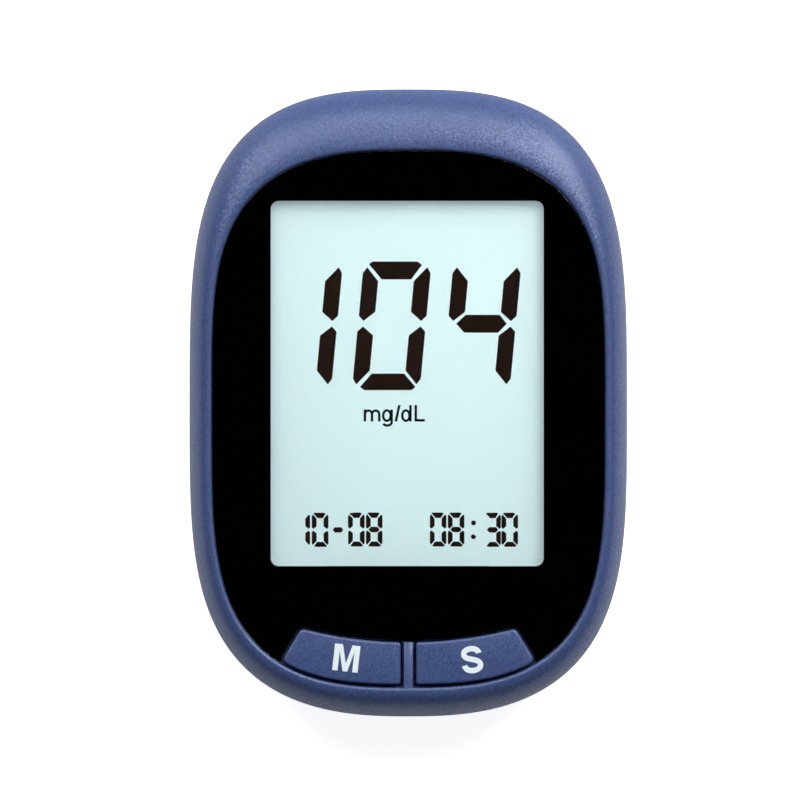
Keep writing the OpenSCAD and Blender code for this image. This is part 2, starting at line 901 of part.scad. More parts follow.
// Least distance between points of the wire that are more than half a turn apart.
coil_gap = min([for (i = [0 : len(coil_path) - 1], j = [i : len(coil_path) - 1])
    if (j - i > rings_per_turn / 2) norm(coil_path[i] - coil_path[j])]) - spring_wire;
echo(least_gap_in_spring = coil_gap);

module spring(x, y, up) {
    color(steel) translate([x, y, cell_z]) rotate(up > 0 ? 0 : 180)
        loft([for (k = [0 : len(coil_path) - 1]) wire_ring(k)]);
}

module link_spring() { spring(-cell_spacing / 2, bay_low_y + plate_t, 1); }
module minus_spring() { spring(cell_spacing / 2, bay_top_y - plate_t, -1); }

// ---- Battery door ----

module door_hook(x) {
    box(x - hook_w / 2, x + hook_w / 2, door_top_y - bond - hook_root, door_top_y - bond,
        door_z + door_t - bond, sill_z + hook_t);
    box(x - hook_w / 2, x + hook_w / 2, door_top_y - bond - hook_root, door_top_y + hook_reach,
        sill_z, sill_z + hook_t);
}

module battery_door() {
    color(dark_blue) difference() {
        union() {
            slab(rounded_box(door_w, door_l - bond, door_r, door_mid_y - bond / 2),
                 door_z, door_t);
            mirror_x() door_hook(hook_x);
            box(-latch_w / 2, latch_w / 2, latch_post_y, latch_post_y + latch_post_t,
                door_z + door_t - bond, latch_pivot_z - latch_leg_t / 2 - latch_gap / 2);
        }
        for (k = [0 : 3])
            box(-groove_half, groove_half, door_low_y + groove_start + groove_pitch * k,
                door_low_y + groove_start + groove_w + groove_pitch * k,
                -over, door_z + groove_depth);
        box(-latch_w / 2 - latch_notch, latch_w / 2 + latch_notch,
            door_low_y - over, latch_leg_y + latch_leg_t / 2 + latch_gap * 3,
            -over, door_z + door_t + over);
        slab(rounded_box(label_w + 2 * latch_notch, label_l + 2 * latch_notch,
                         label_r + latch_notch, label_y),
             -over, over + door_z + label_sunk + label_t);
    }
}

// The snap's bent leg: it hangs from the top of the door's post and springs there.
module door_latch() {
    r = latch_leg_t / 2;
    pivot_y = latch_post_y + latch_post_t / 2;
    nose_half = latch_w / 2 - 1;
    color(dark_blue) {
        translate([-latch_w / 2, pivot_y, latch_pivot_z]) rotate([0, 90, 0])
            cylinder(r = r, h = latch_w);
        box(-latch_w / 2, latch_w / 2, latch_leg_y, pivot_y, latch_pivot_z - r, latch_pivot_z + r);
        translate([-latch_w / 2, latch_leg_y, latch_pivot_z]) rotate([0, 90, 0])
            cylinder(r = r, h = latch_w);
        box(-latch_w / 2, latch_w / 2, latch_leg_y - r, latch_leg_y + r, door_z, latch_pivot_z);
        box(-nose_half, nose_half, latch_leg_y - r - latch_nose, latch_leg_y - r + bond,
            latch_nose_z, latch_nose_z + latch_nose_h);
    }
}

// ---- Assembly ----

front_housing();
rear_housing();
housing_screws();
rear_label();
display_lens();
lens_print();
lens_tape();
lcd_front_polarizer();
lcd_front_glass();
lcd_rear_glass();
lcd_reflector();
lcd_frame();
zebra_strip();
m_button();
s_button();
m_switch_base();
s_switch_base();
m_switch_cover();
s_switch_cover();
m_switch_plunger();
s_switch_plunger();
main_board();
processor();
measuring_chip();
crystal();
buzzer();
chip_parts();
board_screws();
strip_connector();
strip_contacts();
battery_left();
battery_right();
plus_contact();
minus_contact();
minus_spring();
link_contact();
link_spring();
battery_door();
door_latch();
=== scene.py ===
"""The looks of a hand-held blood glucose meter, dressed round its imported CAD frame."""

import math
from functools import partial

import bmesh
import bpy
from mathutils import Matrix, Vector


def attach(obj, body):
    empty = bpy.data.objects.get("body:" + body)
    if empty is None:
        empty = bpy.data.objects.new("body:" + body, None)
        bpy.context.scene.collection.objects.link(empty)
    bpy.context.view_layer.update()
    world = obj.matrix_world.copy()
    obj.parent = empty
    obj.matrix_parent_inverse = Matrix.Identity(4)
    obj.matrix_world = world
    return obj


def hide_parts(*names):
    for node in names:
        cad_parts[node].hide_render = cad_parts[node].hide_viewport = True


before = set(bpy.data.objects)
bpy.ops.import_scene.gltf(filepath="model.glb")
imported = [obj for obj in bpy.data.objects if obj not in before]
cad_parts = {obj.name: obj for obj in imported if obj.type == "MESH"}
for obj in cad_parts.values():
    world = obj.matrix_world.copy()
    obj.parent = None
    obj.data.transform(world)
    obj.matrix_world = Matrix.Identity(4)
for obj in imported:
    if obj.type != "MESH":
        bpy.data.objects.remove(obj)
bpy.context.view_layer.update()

# ------------------------------------------------------------
# Front housing. The upper half of the case, moulded in ABS and sprayed with a
# matte pearl-blue lacquer. Its section is swept round the case's outline: from
# the seam it curves in to the rounded lip of the opening that the lens fills.
MM = 0.001
wall = 1.8
seam_z = 10.5
seam_bevel = 0.25
lip_z = 21.0
lip_round = 0.42
lip_drop = 0.3
ledge_under = 18.2
ledge_top = 19.4
tongue_top = 11.5
tongue_wall = 0.8
tongue_gap = 0.1
waist_drop = 0.7
opening_half_x, opening_low = 27.0, 38.3
opening_low_powers = (2.8, 3.96)
past = 1.0  # how far a tool reaches past what it cuts, or into what it joins


def add_node(tree, kind, values=(), **settings):
    """Adds a node. Its values, as numbers or other nodes' sockets, go in by order or by name."""
    node = tree.nodes.new(kind)
    for name, value in settings.items():
        setattr(node, name, value)
    for key, value in values.items() if isinstance(values, dict) else enumerate(values):
        if isinstance(value, bpy.types.NodeSocket):
            tree.links.new(value, node.inputs[key])
        elif value is not None:
            node.inputs[key].default_value = value
    return node


def calc(tree, operation, *values):
    """The result of one Math node."""
    return add_node(tree, "ShaderNodeMath", values, operation=operation).outputs[0]


def maths(tree):
    """Adding, taking off, multiplying and dividing, as Math nodes of this tree."""
    return [partial(calc, tree, sign) for sign in ("ADD", "SUBTRACT", "MULTIPLY", "DIVIDE")]


def new_group(name, kind, inputs, outputs):
    """A node group with named inputs and outputs, and its two end nodes."""
    tree = bpy.data.node_groups.new(name, kind)
    for side, sockets in (("INPUT", inputs), ("OUTPUT", outputs)):
        for label, socket in sockets.items():
            tree.interface.new_socket(name=label, in_out=side, socket_type="NodeSocket" + socket)
    return tree, add_node(tree, "NodeGroupInput").outputs, add_node(tree, "NodeGroupOutput").inputs


# One rounded outline: half width and half lengths, with its own exponents above and below.
outline, given, result = new_group(
    "rounded outline", "GeometryNodeTree",
    {"Angle": "Float", "Half sizes": "Vector", "Upper exponents": "Vector",
     "Lower exponents": "Vector", "Waist drop": "Float"},
    {"X": "Float", "Y": "Float"})
plus, minus, times, over = maths(outline)
spacing_power = 1.6
cosine = calc(outline, "COSINE", given["Angle"])
sine = calc(outline, "SINE", given["Angle"])
across = calc(outline, "POWER", calc(outline, "ABSOLUTE", cosine), spacing_power)
along = calc(outline, "POWER", calc(outline, "ABSOLUTE", sine), spacing_power)
length = calc(outline, "SQRT", plus(times(across, across), times(along, along)))
above = calc(outline, "GREATER_THAN", sine, 0.0)
half_sizes, upper, lower = [
    add_node(outline, "ShaderNodeSeparateXYZ", [given[label]]).outputs
    for label in ("Half sizes", "Upper exponents", "Lower exponents")]


def upper_or_lower(high, low):
    """The upper value above the waist and the lower value below it."""
    return calc(outline, "MULTIPLY_ADD", above, minus(high, low), low)


def rounded_side(part, exponent):
    """How far a side of the outline reaches for its part of the turn."""
    return calc(outline, "POWER", over(part, length), over(2.0, exponent))


side_x = rounded_side(across, upper_or_lower(upper[0], lower[0]))
side_y = rounded_side(along, upper_or_lower(upper[1], lower[1]))
reach_x = times(calc(outline, "SIGN", cosine), half_sizes[0])
reach_y = times(calc(outline, "SIGN", sine), upper_or_lower(half_sizes[1], half_sizes[2]))
outline.links.new(times(reach_x, side_x), result["X"])
outline.links.new(minus(times(reach_y, side_y), given["Waist drop"]), result["Y"])

# The sweep: a grid of rings, each set on the outline that its row of the section asks for.
sweep, given, result = new_group(
    "case sweep", "GeometryNodeTree",
    {"Section": "Geometry", "Points round": "Int", "Waist drop": "Float",
     "Case half sizes": "Vector", "Case upper exponents": "Vector",
     "Case lower exponents": "Vector", "Opening half sizes": "Vector",
     "Opening upper exponents": "Vector", "Opening lower exponents": "Vector",
     "Finish": "Material"},
    {"Piece": "Geometry"})
plus, minus, times, over = maths(sweep)
rings = add_node(sweep, "GeometryNodeAttributeDomainSize", [given["Section"]]).outputs[0]
grid = add_node(sweep, "GeometryNodeMeshGrid", [1.0, 1.0, rings, plus(given["Points round"], 1.0)])
spot = add_node(sweep, "ShaderNodeSeparateXYZ",
                [add_node(sweep, "GeometryNodeInputPosition").outputs[0]]).outputs
ring = calc(sweep, "ROUND", times(plus(spot[0], 0.5), minus(rings, 1.0)))
step = calc(sweep, "ROUND", times(plus(spot[1], 0.5), given["Points round"]))
turn = over(times(plus(step, 0.5), math.tau), given["Points round"])


def section_value(label):
    """What this ring's row of the section says."""
    value = add_node(sweep, "GeometryNodeInputNamedAttribute", [label], data_type="FLOAT")
    return add_node(sweep, "GeometryNodeSampleIndex", [given["Section"], value.outputs[0], ring],
                    data_type="FLOAT", domain="POINT").outputs[0]


share, inset, height, size = [section_value(v) for v in ("share", "inset", "height", "size")]


def blended_point(angle):
    """X and Y on the outline that lies between the case's and the opening's."""
    case, opening = [add_node(sweep, "GeometryNodeGroup", [
        angle, given[label + " half sizes"], given[label + " upper exponents"],
        given[label + " lower exponents"], given["Waist drop"]], node_tree=outline).outputs
        for label in ("Case", "Opening")]
    return [calc(sweep, "MULTIPLY_ADD", share, minus(opening[k], case[k]), case[k])
            for k in (0, 1)]


def finished(tree, geometry, finish, end):
    """Ends a tree: real geometry with its material."""
    real = add_node(tree, "GeometryNodeRealizeInstances", [geometry]).outputs[0]
    tree.links.new(add_node(tree, "GeometryNodeSetMaterial", [real, None, finish]).outputs[0], end)


angle_step = 0.002
merge_distance = 1e-6
here, before, after = [blended_point(angle) for angle in (
    turn, minus(turn, angle_step), plus(turn, angle_step))]
way = [minus(after[k], before[k]) for k in (0, 1)]
inwards = over(inset, calc(sweep, "SQRT", plus(times(way[0], way[0]), times(way[1], way[1]))))
place = add_node(sweep, "ShaderNodeCombineXYZ", [
    minus(times(here[0], size), times(way[1], inwards)),
    plus(times(here[1], size), times(way[0], inwards)), height]).outputs[0]
swept_grid = add_node(sweep, "GeometryNodeSetPosition", [grid.outputs[0], None, place]).outputs[0]
closed = add_node(sweep, "GeometryNodeMergeByDistance", [swept_grid, None, merge_distance])
finished(sweep, closed.outputs[0], given["Finish"], result["Piece"])


def apply_modifiers(piece):
    """Turns the piece's evaluated shape into its plain mesh."""
    graph = bpy.context.evaluated_depsgraph_get()
    mesh = bpy.data.meshes.new_from_object(piece.evaluated_get(graph))
    mesh.name = piece.name
    piece.modifiers.clear()
    piece.data = mesh


def grow(piece, tree, sizes):
    """Runs a Geometry Nodes tree on the piece with these named sizes and keeps the result."""
    modifier = piece.modifiers.new(tree.name, "NODES")
    modifier.node_group = tree
    for item in tree.interface.items_tree:
        if item.in_out == "INPUT" and item.name in sizes:
            modifier[item.identifier] = sizes[item.name]
    apply_modifiers(piece)


def new_piece(name, points, faces=()):
    """An object at the origin with this mesh, its points in mm."""
    mesh = bpy.data.meshes.new(name)
    mesh.from_pydata([(x * MM, y * MM, z * MM) for x, y, z in points], [], faces)
    piece = bpy.data.objects.new(name, mesh)
    bpy.context.scene.collection.objects.link(piece)
    return piece


def tidy(piece, sharp_degrees=35.0):
    """Merges doubles, turns the faces outwards and shades smooth between sharp edges."""
    work = bmesh.new()
    work.from_mesh(piece.data)
    bmesh.ops.remove_doubles(work, verts=work.verts, dist=1e-7)
    bmesh.ops.dissolve_degenerate(work, edges=work.edges, dist=1e-7)
    bmesh.ops.recalc_face_normals(work, faces=work.faces)
    work.to_mesh(piece.data)
    work.free()
    piece.data.shade_smooth()
    piece.data.set_sharp_from_angle(angle=math.radians(sharp_degrees))
    return piece


def swept(name, section, finish, points_round=288):
    """A piece that follows the case. Each ring of its section is share, inset, height, size."""
    piece = new_piece(name, [(0.0, 0.0, row[2]) for row in section])
    units = (("share", 1.0), ("inset", MM), ("height", MM), ("size", 1.0))
    for k, (label, unit) in enumerate(units):
        values = piece.data.attributes.new(label, "FLOAT", "POINT")
        values.data.foreach_set("value", [row[k] * unit for row in section])
    grow(piece, sweep, {
        "Points round": points_round, "Waist drop": waist_drop * MM,
        "Case half sizes": (0.030, 0.0437, 0.0423),
        "Case upper exponents": (2.885, 3.65, 0.0), "Case lower exponents": (2.57, 3.74, 0.0),
        "Opening half sizes": (opening_half_x * MM, 0.0353, opening_low * MM),
        "Opening upper exponents": (2.77, 3.84, 0.0),
        "Opening lower exponents": (*opening_low_powers, 0.0), "Finish": finish})
    return piece


def combine(piece, operation, tools):
    """Joins the piece with the tools, or cuts them out, and removes them."""
    for tool in tools:
        modifier = piece.modifiers.new(tool.name, "BOOLEAN")
        modifier.operation = operation
        modifier.solver = "MANIFOLD"
        modifier.object = tool
    apply_modifiers(piece)
    for tool in tools:
        bpy.data.objects.remove(tool)
    return piece


def weld(piece, *tools):
    """Welds the tools onto the piece."""
    return combine(piece, "UNION", tools)


def cut(piece, *tools):
    """Cuts the tools out of the piece."""
    return combine(piece, "DIFFERENCE", tools)


def loft(name, rings):
    """A closed solid through rings of equally many points, in mm."""
    count = len(rings[0])
    points = [point for ring in rings for point in ring]
    faces = [list(range(count)), list(range(len(points) - count, len(points)))]
    for k in range(len(rings) - 1):
        for i in range(count):
            a = k * count + i
            b = k * count + (i + 1) % count
            faces.append((a, b, b + count, a + count))
    return tidy(new_piece(name, points, faces))


def lift(path, z):
    """A flat path at height z."""
    return [(x, y, z) for x, y in path]


def prism(name, path, low, high):
    """A straight-sided solid on a flat path."""
    return loft(name, [lift(path, low), lift(path, high)])


def box(name, x, y, z, bevel=0.0):
    """A box between pairs of limits, with its edges cut back by the bevel."""
    corners = [(a, b, c) for a in x for b in y for c in z]
    faces = [(0, 1, 3, 2), (4, 6, 7, 5), (0, 4, 5, 1), (2, 3, 7, 6), (0, 2, 6, 4), (1, 5, 7, 3)]
    piece = new_piece(name, corners, faces)
    if bevel:
        rounding = piece.modifiers.new("edge", "BEVEL")
        rounding.width = bevel * MM
        rounding.segments = 2
        apply_modifiers(piece)
    return tidy(piece)


def rounded_path(corners, steps=8):
    """A flat path through corners of x, y and radius."""
    path = []
    count = len(corners)
    for i, (x, y, radius) in enumerate(corners):
        spot = Vector((x, y))
        if radius == 0:
            path.append((x, y))
            continue
        back = (Vector(corners[i - 1][:2]) - spot).normalized()
        on = (Vector(corners[(i + 1) % count][:2]) - spot).normalized()
        half = back.angle(on) / 2
        middle = spot + (back + on).normalized() * radius / math.sin(half)
        start = spot + back * radius / math.tan(half) - middle
        end = spot + on * radius / math.tan(half) - middle
        whole = math.pi - 2 * half
        for k in range(steps + 1):
            w = k / steps
            arm = (start * math.sin((1 - w) * whole) + end * math.sin(w * whole)) / math.sin(whole)
            path.append(tuple(middle + arm))
    return path


def rounded_box(width, length, radius, y=0.0):
    """The flat path of a rectangle with round corners, its middle at x 0 and y."""
    a, b = width / 2, length / 2
    return rounded_path([(a, y - b, radius), (a, y + b, radius),
                         (-a, y + b, radius), (-a, y - b, radius)])


def on_side(side, path):
    """The path itself for side 1, and its mirror image across x 0 for side -1."""
    return path if side > 0 else [(-x, y) for x, y in reversed(path)]


def turned(name, profile, at=(0.0, 0.0), sides=48):
    """A turned solid: its profile of radius and height in mm goes round an upright axis."""
    rings = []
    for radius, z in profile:
        rings.append([(at[0] + radius * math.cos(math.tau * i / sides),
                       at[1] + radius * math.sin(math.tau * i / sides), z)
                      for i in range(sides)])
    return loft(name, rings)


def rod(radius, low, high, at, sides=48):
    """An upright round bar, to weld on or to cut a hole with."""
    return turned("rod", [(radius, low), (radius, high)], at, sides)


def arc_steps(first, last, count):
    """Angles in radians from first to last degrees, both ends included."""
    return [math.radians(first + (last - first) * k / count) for k in range(count + 1)]


# The keys' places: an arc above, the opening's lower edge below, a slanted outer end.
key_arc_y = 25.2
key_arc_r = 58.0
key_lip_gap = 0.45
key_inner_x = 1.05
key_end_x = 16.25
key_end_slope = 0.6
key_end_y = -33.5
key_corner = 0.8
key_gap = 0.25


def key_upper(x, grown):
    """Height on the page of a key's upper edge."""
    return key_arc_y - math.sqrt((key_arc_r - grown) ** 2 - x * x)


def key_lower(x, grown):
    """Height on the page of a key's lower edge, which follows the opening."""
    power_x, power_y = opening_low_powers
    reach = (1 - (x / opening_half_x) ** power_x) ** (1 / power_y)
    return key_lip_gap - grown - waist_drop - opening_low * reach


def key_end(y, grown):
    """Where the slanted end lies at this height on the page."""
    return key_end_x + grown * math.hypot(1, key_end_slope) - key_end_slope * (y - key_end_y)


def key_corner_x(edge, grown):
    """Where the slanted end meets the upper or lower edge, by repeated correction."""
    x = key_end_x
    for _ in range(12):
        x = key_end(edge(x, grown), grown)
    return x


def key_path(grown=0.0, side=1):
    """The right key's outline grown by so much, or the left key's for side -1."""
    low_x = key_corner_x(key_lower, grown)
    high_x = key_corner_x(key_upper, grown)
    inner = key_inner_x - grown
    radius = key_corner + grown
    steps = 24
    path = [(inner, key_lower(inner, grown), radius / 2)]
    for k in range(1, steps - 1):
        x = inner + (low_x - inner) * k / steps
        path.append((x, key_lower(x, grown), 0))
    path.append((low_x, key_lower(low_x, grown), radius))
    path.append((high_x, key_upper(high_x, grown), radius))
    for k in range(steps - 1, 1, -1):
        x = inner + (high_x - inner) * k / steps
        path.append((x, key_upper(x, grown), 0))
    path.append((inner, key_upper(inner, grown), radius / 2))
    return on_side(side, rounded_path(path))


def srgb(red, green, blue):
    """Screen values from 0 to 255 as the linear colour that Blender's sockets take."""
    linear = [((v / 255 + 0.055) / 1.055) ** 2.4 if v > 10 else v / 255 / 12.92
              for v in (red, green, blue)]
    return (*linear, 1.0)


def vector(tree, operation, values):
    """The result of one Vector Math node."""
    return add_node(tree, "ShaderNodeVectorMath", values, operation=operation).outputs[0]


# Pearl lacquer: small flat flakes, each tilted its own way, in a softly mottled coat.
pearl, given, result = new_group(
    "pearl lacquer", "ShaderNodeTree",
    {"Flake size": "Float", "Flake tilt": "Float", "Mottle size": "Float"},
    {"Tint": "Float", "Normal": "Vector"})
flake_share = 0.9
middle_colour = (0.5, 0.5, 0.5)
spot = add_node(pearl, "ShaderNodeTexCoord").outputs["Object"]
flakes = add_node(pearl, "ShaderNodeTexVoronoi", {
    "Vector": vector(pearl, "SCALE", {
        0: spot, "Scale": calc(pearl, "DIVIDE", 1.0, given["Flake size"])}),
    "Scale": 1.0}).outputs["Color"]
mottle = add_node(pearl, "ShaderNodeTexNoise", {
    "Vector": spot, "Scale": calc(pearl, "DIVIDE", 1.0, given["Mottle size"]),
    "Detail": 3.0}).outputs[0]
flake_value = add_node(pearl, "ShaderNodeSeparateXYZ", [flakes]).outputs[0]
pearl.links.new(calc(pearl, "MULTIPLY_ADD", flake_value, flake_share,
                     calc(pearl, "MULTIPLY", mottle, 1 - flake_share)), result["Tint"])
tilt = vector(pearl, "SCALE", {0: vector(pearl, "SUBTRACT", [flakes, middle_colour]),
                               "Scale": given["Flake tilt"]})
upright = add_node(pearl, "ShaderNodeNewGeometry").outputs["Normal"]
pearl.links.new(vector(pearl, "NORMALIZE", [vector(pearl, "ADD", [upright, tilt])]),
                result["Normal"])


def new_material(name, colour, roughness, **settings):
    """A material with one Principled shader and its plain values."""
    material = bpy.data.materials.new(name)
    material.use_nodes = True
    shader = material.node_tree.nodes["Principled BSDF"]
    shader.inputs["Base Color"].default_value = colour
    shader.inputs["Roughness"].default_value = roughness
    for label, value in settings.items():
        shader.inputs[label.replace("_", " ")].default_value = value
    return material, material.node_tree, shader


def mixed_colour(tree, mask, low, high):
    """A colour that goes from low to high with the mask; each may be another node's."""
    mix = add_node(tree, "ShaderNodeMix", {"Factor": mask, "A": low, "B": high}, data_type="RGBA")
    return next(o for o in mix.outputs if o.type == "RGBA")


def ranged(tree, mask, low, high):
    """A number that goes from low to high with the mask."""
    return add_node(tree, "ShaderNodeMapRange", [mask, 0.0, 1.0, low, high]).outputs[0]


def shade(tree, shader, mask, low, high, roughness, spread):
    """Leads the mask to the shader's colour, from low to high, and to its roughness."""
    tree.links.new(mixed_colour(tree, mask, srgb(*low), srgb(*high)), shader.inputs["Base Color"])
    tree.links.new(ranged(tree, mask, roughness + spread, roughness - spread),
                   shader.inputs["Roughness"])


def pearl_paint(name, low, high, roughness, metallic):
    """The sprayed lacquer of the case and keys, between two close screen colours."""
    material, tree, shader = new_material(name, srgb(*high), roughness, Metallic=metallic,
                                          Specular_IOR_Level=0.6)
    coat = add_node(tree, "ShaderNodeGroup", {
        "Flake size": 0.17 * MM, "Flake tilt": 0.15, "Mottle size": 1.5 * MM},
        node_tree=pearl).outputs
    shade(tree, shader, coat["Tint"], low, high, roughness, 0.05)
    tree.links.new(coat["Normal"], shader.inputs["Normal"])
    return material


def painted(piece, finish):
    """Gives the piece this one material."""
    piece.data.materials.clear()
    piece.data.materials.append(finish)
    return piece


def dress(piece, body, slot, *nodes, finish=None):
    """Gives the piece its material and its body, and hides the CAD nodes it stands for. The slot is
    not used.
    """
    if finish:
        painted(piece, finish)
    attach(piece, body)
    if nodes:
        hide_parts(*nodes)
    return piece


lacquer = ((54, 71, 117), (73, 93, 143), 0.36, 0.1)
case_paint = pearl_paint("pearl_blue", *lacquer)

# The section goes up inside, round the seam, up the outer wall and over the shoulder to the lip.
front_rise = lip_z - seam_z - seam_bevel
front_foot = seam_z + seam_bevel
shoulder_z = 16.5
shoulder_rise = lip_z - shoulder_z
shoulder_across = 2 / 1.9
shoulder_up = 1.5
inner_power = 2 / 1.75
inner_top = ((ledge_under - front_foot) / front_rise) ** (1 / inner_power)
inner_last = math.degrees(math.asin(inner_top))
section = [(0, 0, ledge_under, 0)]
for angle in arc_steps(inner_last, 0, 10):
    section.append((1 - math.cos(angle) ** inner_power, wall,
                    max(front_foot + front_rise * math.sin(angle) ** inner_power,
                        tongue_top + tongue_gap), 1))
section += [(0, wall - tongue_wall, tongue_top + tongue_gap, 1),
            (0, wall - tongue_wall, seam_z, 1), (0, seam_bevel, seam_z, 1),
            (0, 0, front_foot, 1)]
for angle in arc_steps(0, 90, 30):
    way_in = 1 - abs(math.cos(angle)) ** shoulder_across
    section.append((way_in, -lip_round * way_in,
                    shoulder_z + shoulder_rise * math.sin(angle) ** shoulder_up, 1))
for angle in arc_steps(0, 90, 6)[1:]:
    section.append((1, lip_round * (math.sin(angle) - 1),
                    lip_z - lip_drop * (1 - math.cos(angle)), 1))
section += [(1, 0, ledge_top, 1), (0, 0, ledge_top, 0)]
front_shell = tidy(swept("front_shell", section, case_paint))

housing_posts = [(17.5, 32.1), (18.8, -30.0)]
board_posts = [(12.5, 35.1), (23.2, -18.0)]
both_sides = (-1, 1)
nose_low, nose_high, nose_half = 9.9, 13.7, 5.5
port_gap = 0.2
post_root = 0.1
welds, holes = [], []
for side in both_sides:
    for spots, post_r, pilot_r, foot_z, pilot_top in ((housing_posts, 2.2, 1.02, seam_z, 16.0),
                                                      (board_posts, 1.7, 0.82, 15.3, 17.9)):
        for x, y in spots:
            welds.append(rod(post_r, foot_z, ledge_under + post_root, (side * x, y)))
            holes.append(rod(pilot_r, foot_z - past, pilot_top, (side * x, y), 24))
bridge_half_x, bridge_y, bridge_z = 0.625, (-39.25, -32.8), (19.3, 20.75)
welds.append(box("bridge", (-bridge_half_x, bridge_half_x), bridge_y, bridge_z, 0.12))
openings = [prism("key_hole", key_path(key_gap, side), ledge_under - past, ledge_top + past)
            for side in both_sides]
openings.append(prism("window", rounded_box(39.3, 51.8, 1.5, 2.6),
                      ledge_under - past, ledge_top + past))


def port_cutter():
    """The hole in both housings for the nose of the strip connector."""
    return box("port", (-nose_half - port_gap, nose_half + port_gap), (37.0, 86.0),
               (nose_low - port_gap, nose_high + port_gap), 0.5)


cut(front_shell, *openings)
weld(front_shell, *welds)
cut(front_shell, *holes, port_cutter())
dress(tidy(front_shell), "case", "case_front", "front_housing", finish=case_paint)

# ------------------------------------------------------------
# Display lens. One clear hard-coated acrylic pane fills the opening down to the
# keys. Its back is screen-printed black round the window, and a die-cut black tape
# under the print holds it on the front housing's ledge.
lens_low, lens_high = 19.65, 20.75
lens_gap = 0.15
lens_edge = 0.06
print_low = 19.55
print_air = 0.01
tape_inset = 0.4
window_size = (37.32, 49.97)
window_middle = (-0.15, 2.64)
window_corner = 1.1
key_place_gap = 0.05
tape_margin = 1.2
bridge_half = 2.0
bridge_top_y = key_arc_y - key_arc_r + lens_gap

# Fine grain: a coarse and a fine noise for moulded, rolled, coated or printed faces.
grain, given, result = new_group(
    "fine grain", "ShaderNodeTree", {"Grain size": "Float", "Stretch": "Vector"},
    {"Mask": "Float", "Height": "Float"})
spot = add_node(grain, "ShaderNodeTexCoord").outputs["Object"]
stretched = vector(grain, "MULTIPLY", [spot, given["Stretch"]])
coarse_share = 0.6
coarse_scale = 0.12
per_metre = calc(grain, "DIVIDE", 1.0, given["Grain size"])
coarse = add_node(grain, "ShaderNodeTexNoise", {
    "Vector": stretched, "Scale": calc(grain, "MULTIPLY", per_metre, coarse_scale),
    "Detail": 4.0}).outputs[0]
fine = add_node(grain, "ShaderNodeTexNoise", {
    "Vector": stretched, "Scale": per_metre, "Detail": 2.0}).outputs[0]
grain.links.new(calc(grain, "MULTIPLY_ADD", coarse, coarse_share,
                     calc(grain, "MULTIPLY", fine, 1 - coarse_share)), result["Mask"])
grain.links.new(fine, result["Height"])


def grained(name, low, high, roughness, grain_size=0.3, depth=0.01, spread=0.08, **settings):
    """A surface of two close screen colours with a shallow grain; its sizes are in mm."""
    material, tree, shader = new_material(name, srgb(*high), roughness, **settings)
    surface = add_node(tree, "ShaderNodeGroup", {
        "Grain size": grain_size * MM, "Stretch": (1.0, 1.0, 1.0)}, node_tree=grain).outputs
    shade(tree, shader, surface["Mask"], low, high, roughness, spread)
    bump = add_node(tree, "ShaderNodeBump", {
        "Strength": 1.0, "Distance": depth * MM, "Height": surface["Height"]}).outputs[0]
    tree.links.new(bump, shader.inputs["Normal"])
    return material


def clear(name, colour, index):
    """A clear glass or plastic. Lamps shine straight through it at less than half their
    strength, because the light that it bends on its way adds the rest."""
    roughness, grain_size = 0.02, 2.0
    straight_through = (0.46, 0.46, 0.46, 1.0)
    material, tree, shader = new_material(name, colour, roughness, Transmission_Weight=1.0,
                                          IOR=index)
    mask = add_node(tree, "ShaderNodeGroup", {
        "Grain size": grain_size * MM, "Stretch": (1.0, 1.0, 1.0)}, node_tree=grain).outputs["Mask"]
    tree.links.new(ranged(tree, mask, roughness * 1.5, roughness * 0.5), shader.inputs["Roughness"])
    passing = add_node(tree, "ShaderNodeBsdfTransparent", [straight_through]).outputs[0]
    shadow_ray = add_node(tree, "ShaderNodeLightPath").outputs["Is Shadow Ray"]
    mix = add_node(tree, "ShaderNodeMixShader", [shadow_ray, shader.outputs[0], passing])
    tree.links.new(mix.outputs[0], tree.nodes["Material Output"].inputs["Surface"])
    return material


acrylic = clear("clear_acrylic", (0.99, 0.99, 0.99, 1.0), 1.49)
black_ink = grained("black_ink", (1, 1, 1), (3, 3, 3), 0.6, grain_size=0.08,
                    depth=0.001, Specular_IOR_Level=0.0)
black_tape = grained("black_tape", (18, 18, 19), (30, 30, 31), 0.7, grain_size=0.12,
                     depth=0.01)


def key_foot(side):
    """The strip below a key, down to the lip, that the lens leaves free."""
    x = key_corner_x(key_lower, key_gap)
    y = key_lower(x, key_gap)
    return on_side(side, [(0, y - 5), (x, y - 5), (x, y - 0.2), (x - key_corner, y + 0.5),
                          (0, y + 0.5)])


def window_path(grown=0.0):
    """The outline of the clear window."""
    path = rounded_box(window_size[0] + 2 * grown, window_size[1] + 2 * grown,
                       window_corner + grown, window_middle[1])
    return [(x + window_middle[0], y) for x, y in path]


def lens_sheet(name, section, low, high, finish, window=None):
    """A sheet that follows the opening, without the keys' places."""
    sheet = tidy(swept(name, section, finish))
    bridge_gap = box("bridge_gap", (-bridge_half, bridge_half), (-43, bridge_top_y),
                     (low - past, high + past))
    paths = [path for side in both_sides
             for path in (key_path(key_gap + key_place_gap, side), key_foot(side))]
    if window:
        paths.append(window)
    places = [prism("place", path, low - past, high + past) for path in paths]
    return tidy(cut(sheet, bridge_gap, *places))


def flat_section(low, high, share, inset, edge=0.0):
    """The rows of a flat sheet, with its upper edge rounded over."""
    rows = [(0, 0, low, 0), (share, inset, low, 1), (share, inset, high - edge, 1)]
    if edge:
        for angle in arc_steps(0, 90, 4)[1:]:
            rows.append((share, inset + edge * (1 - math.cos(angle)),
                         high - edge * (1 - math.sin(angle)), 1))
    return rows + [(0, 0, high, 0)]


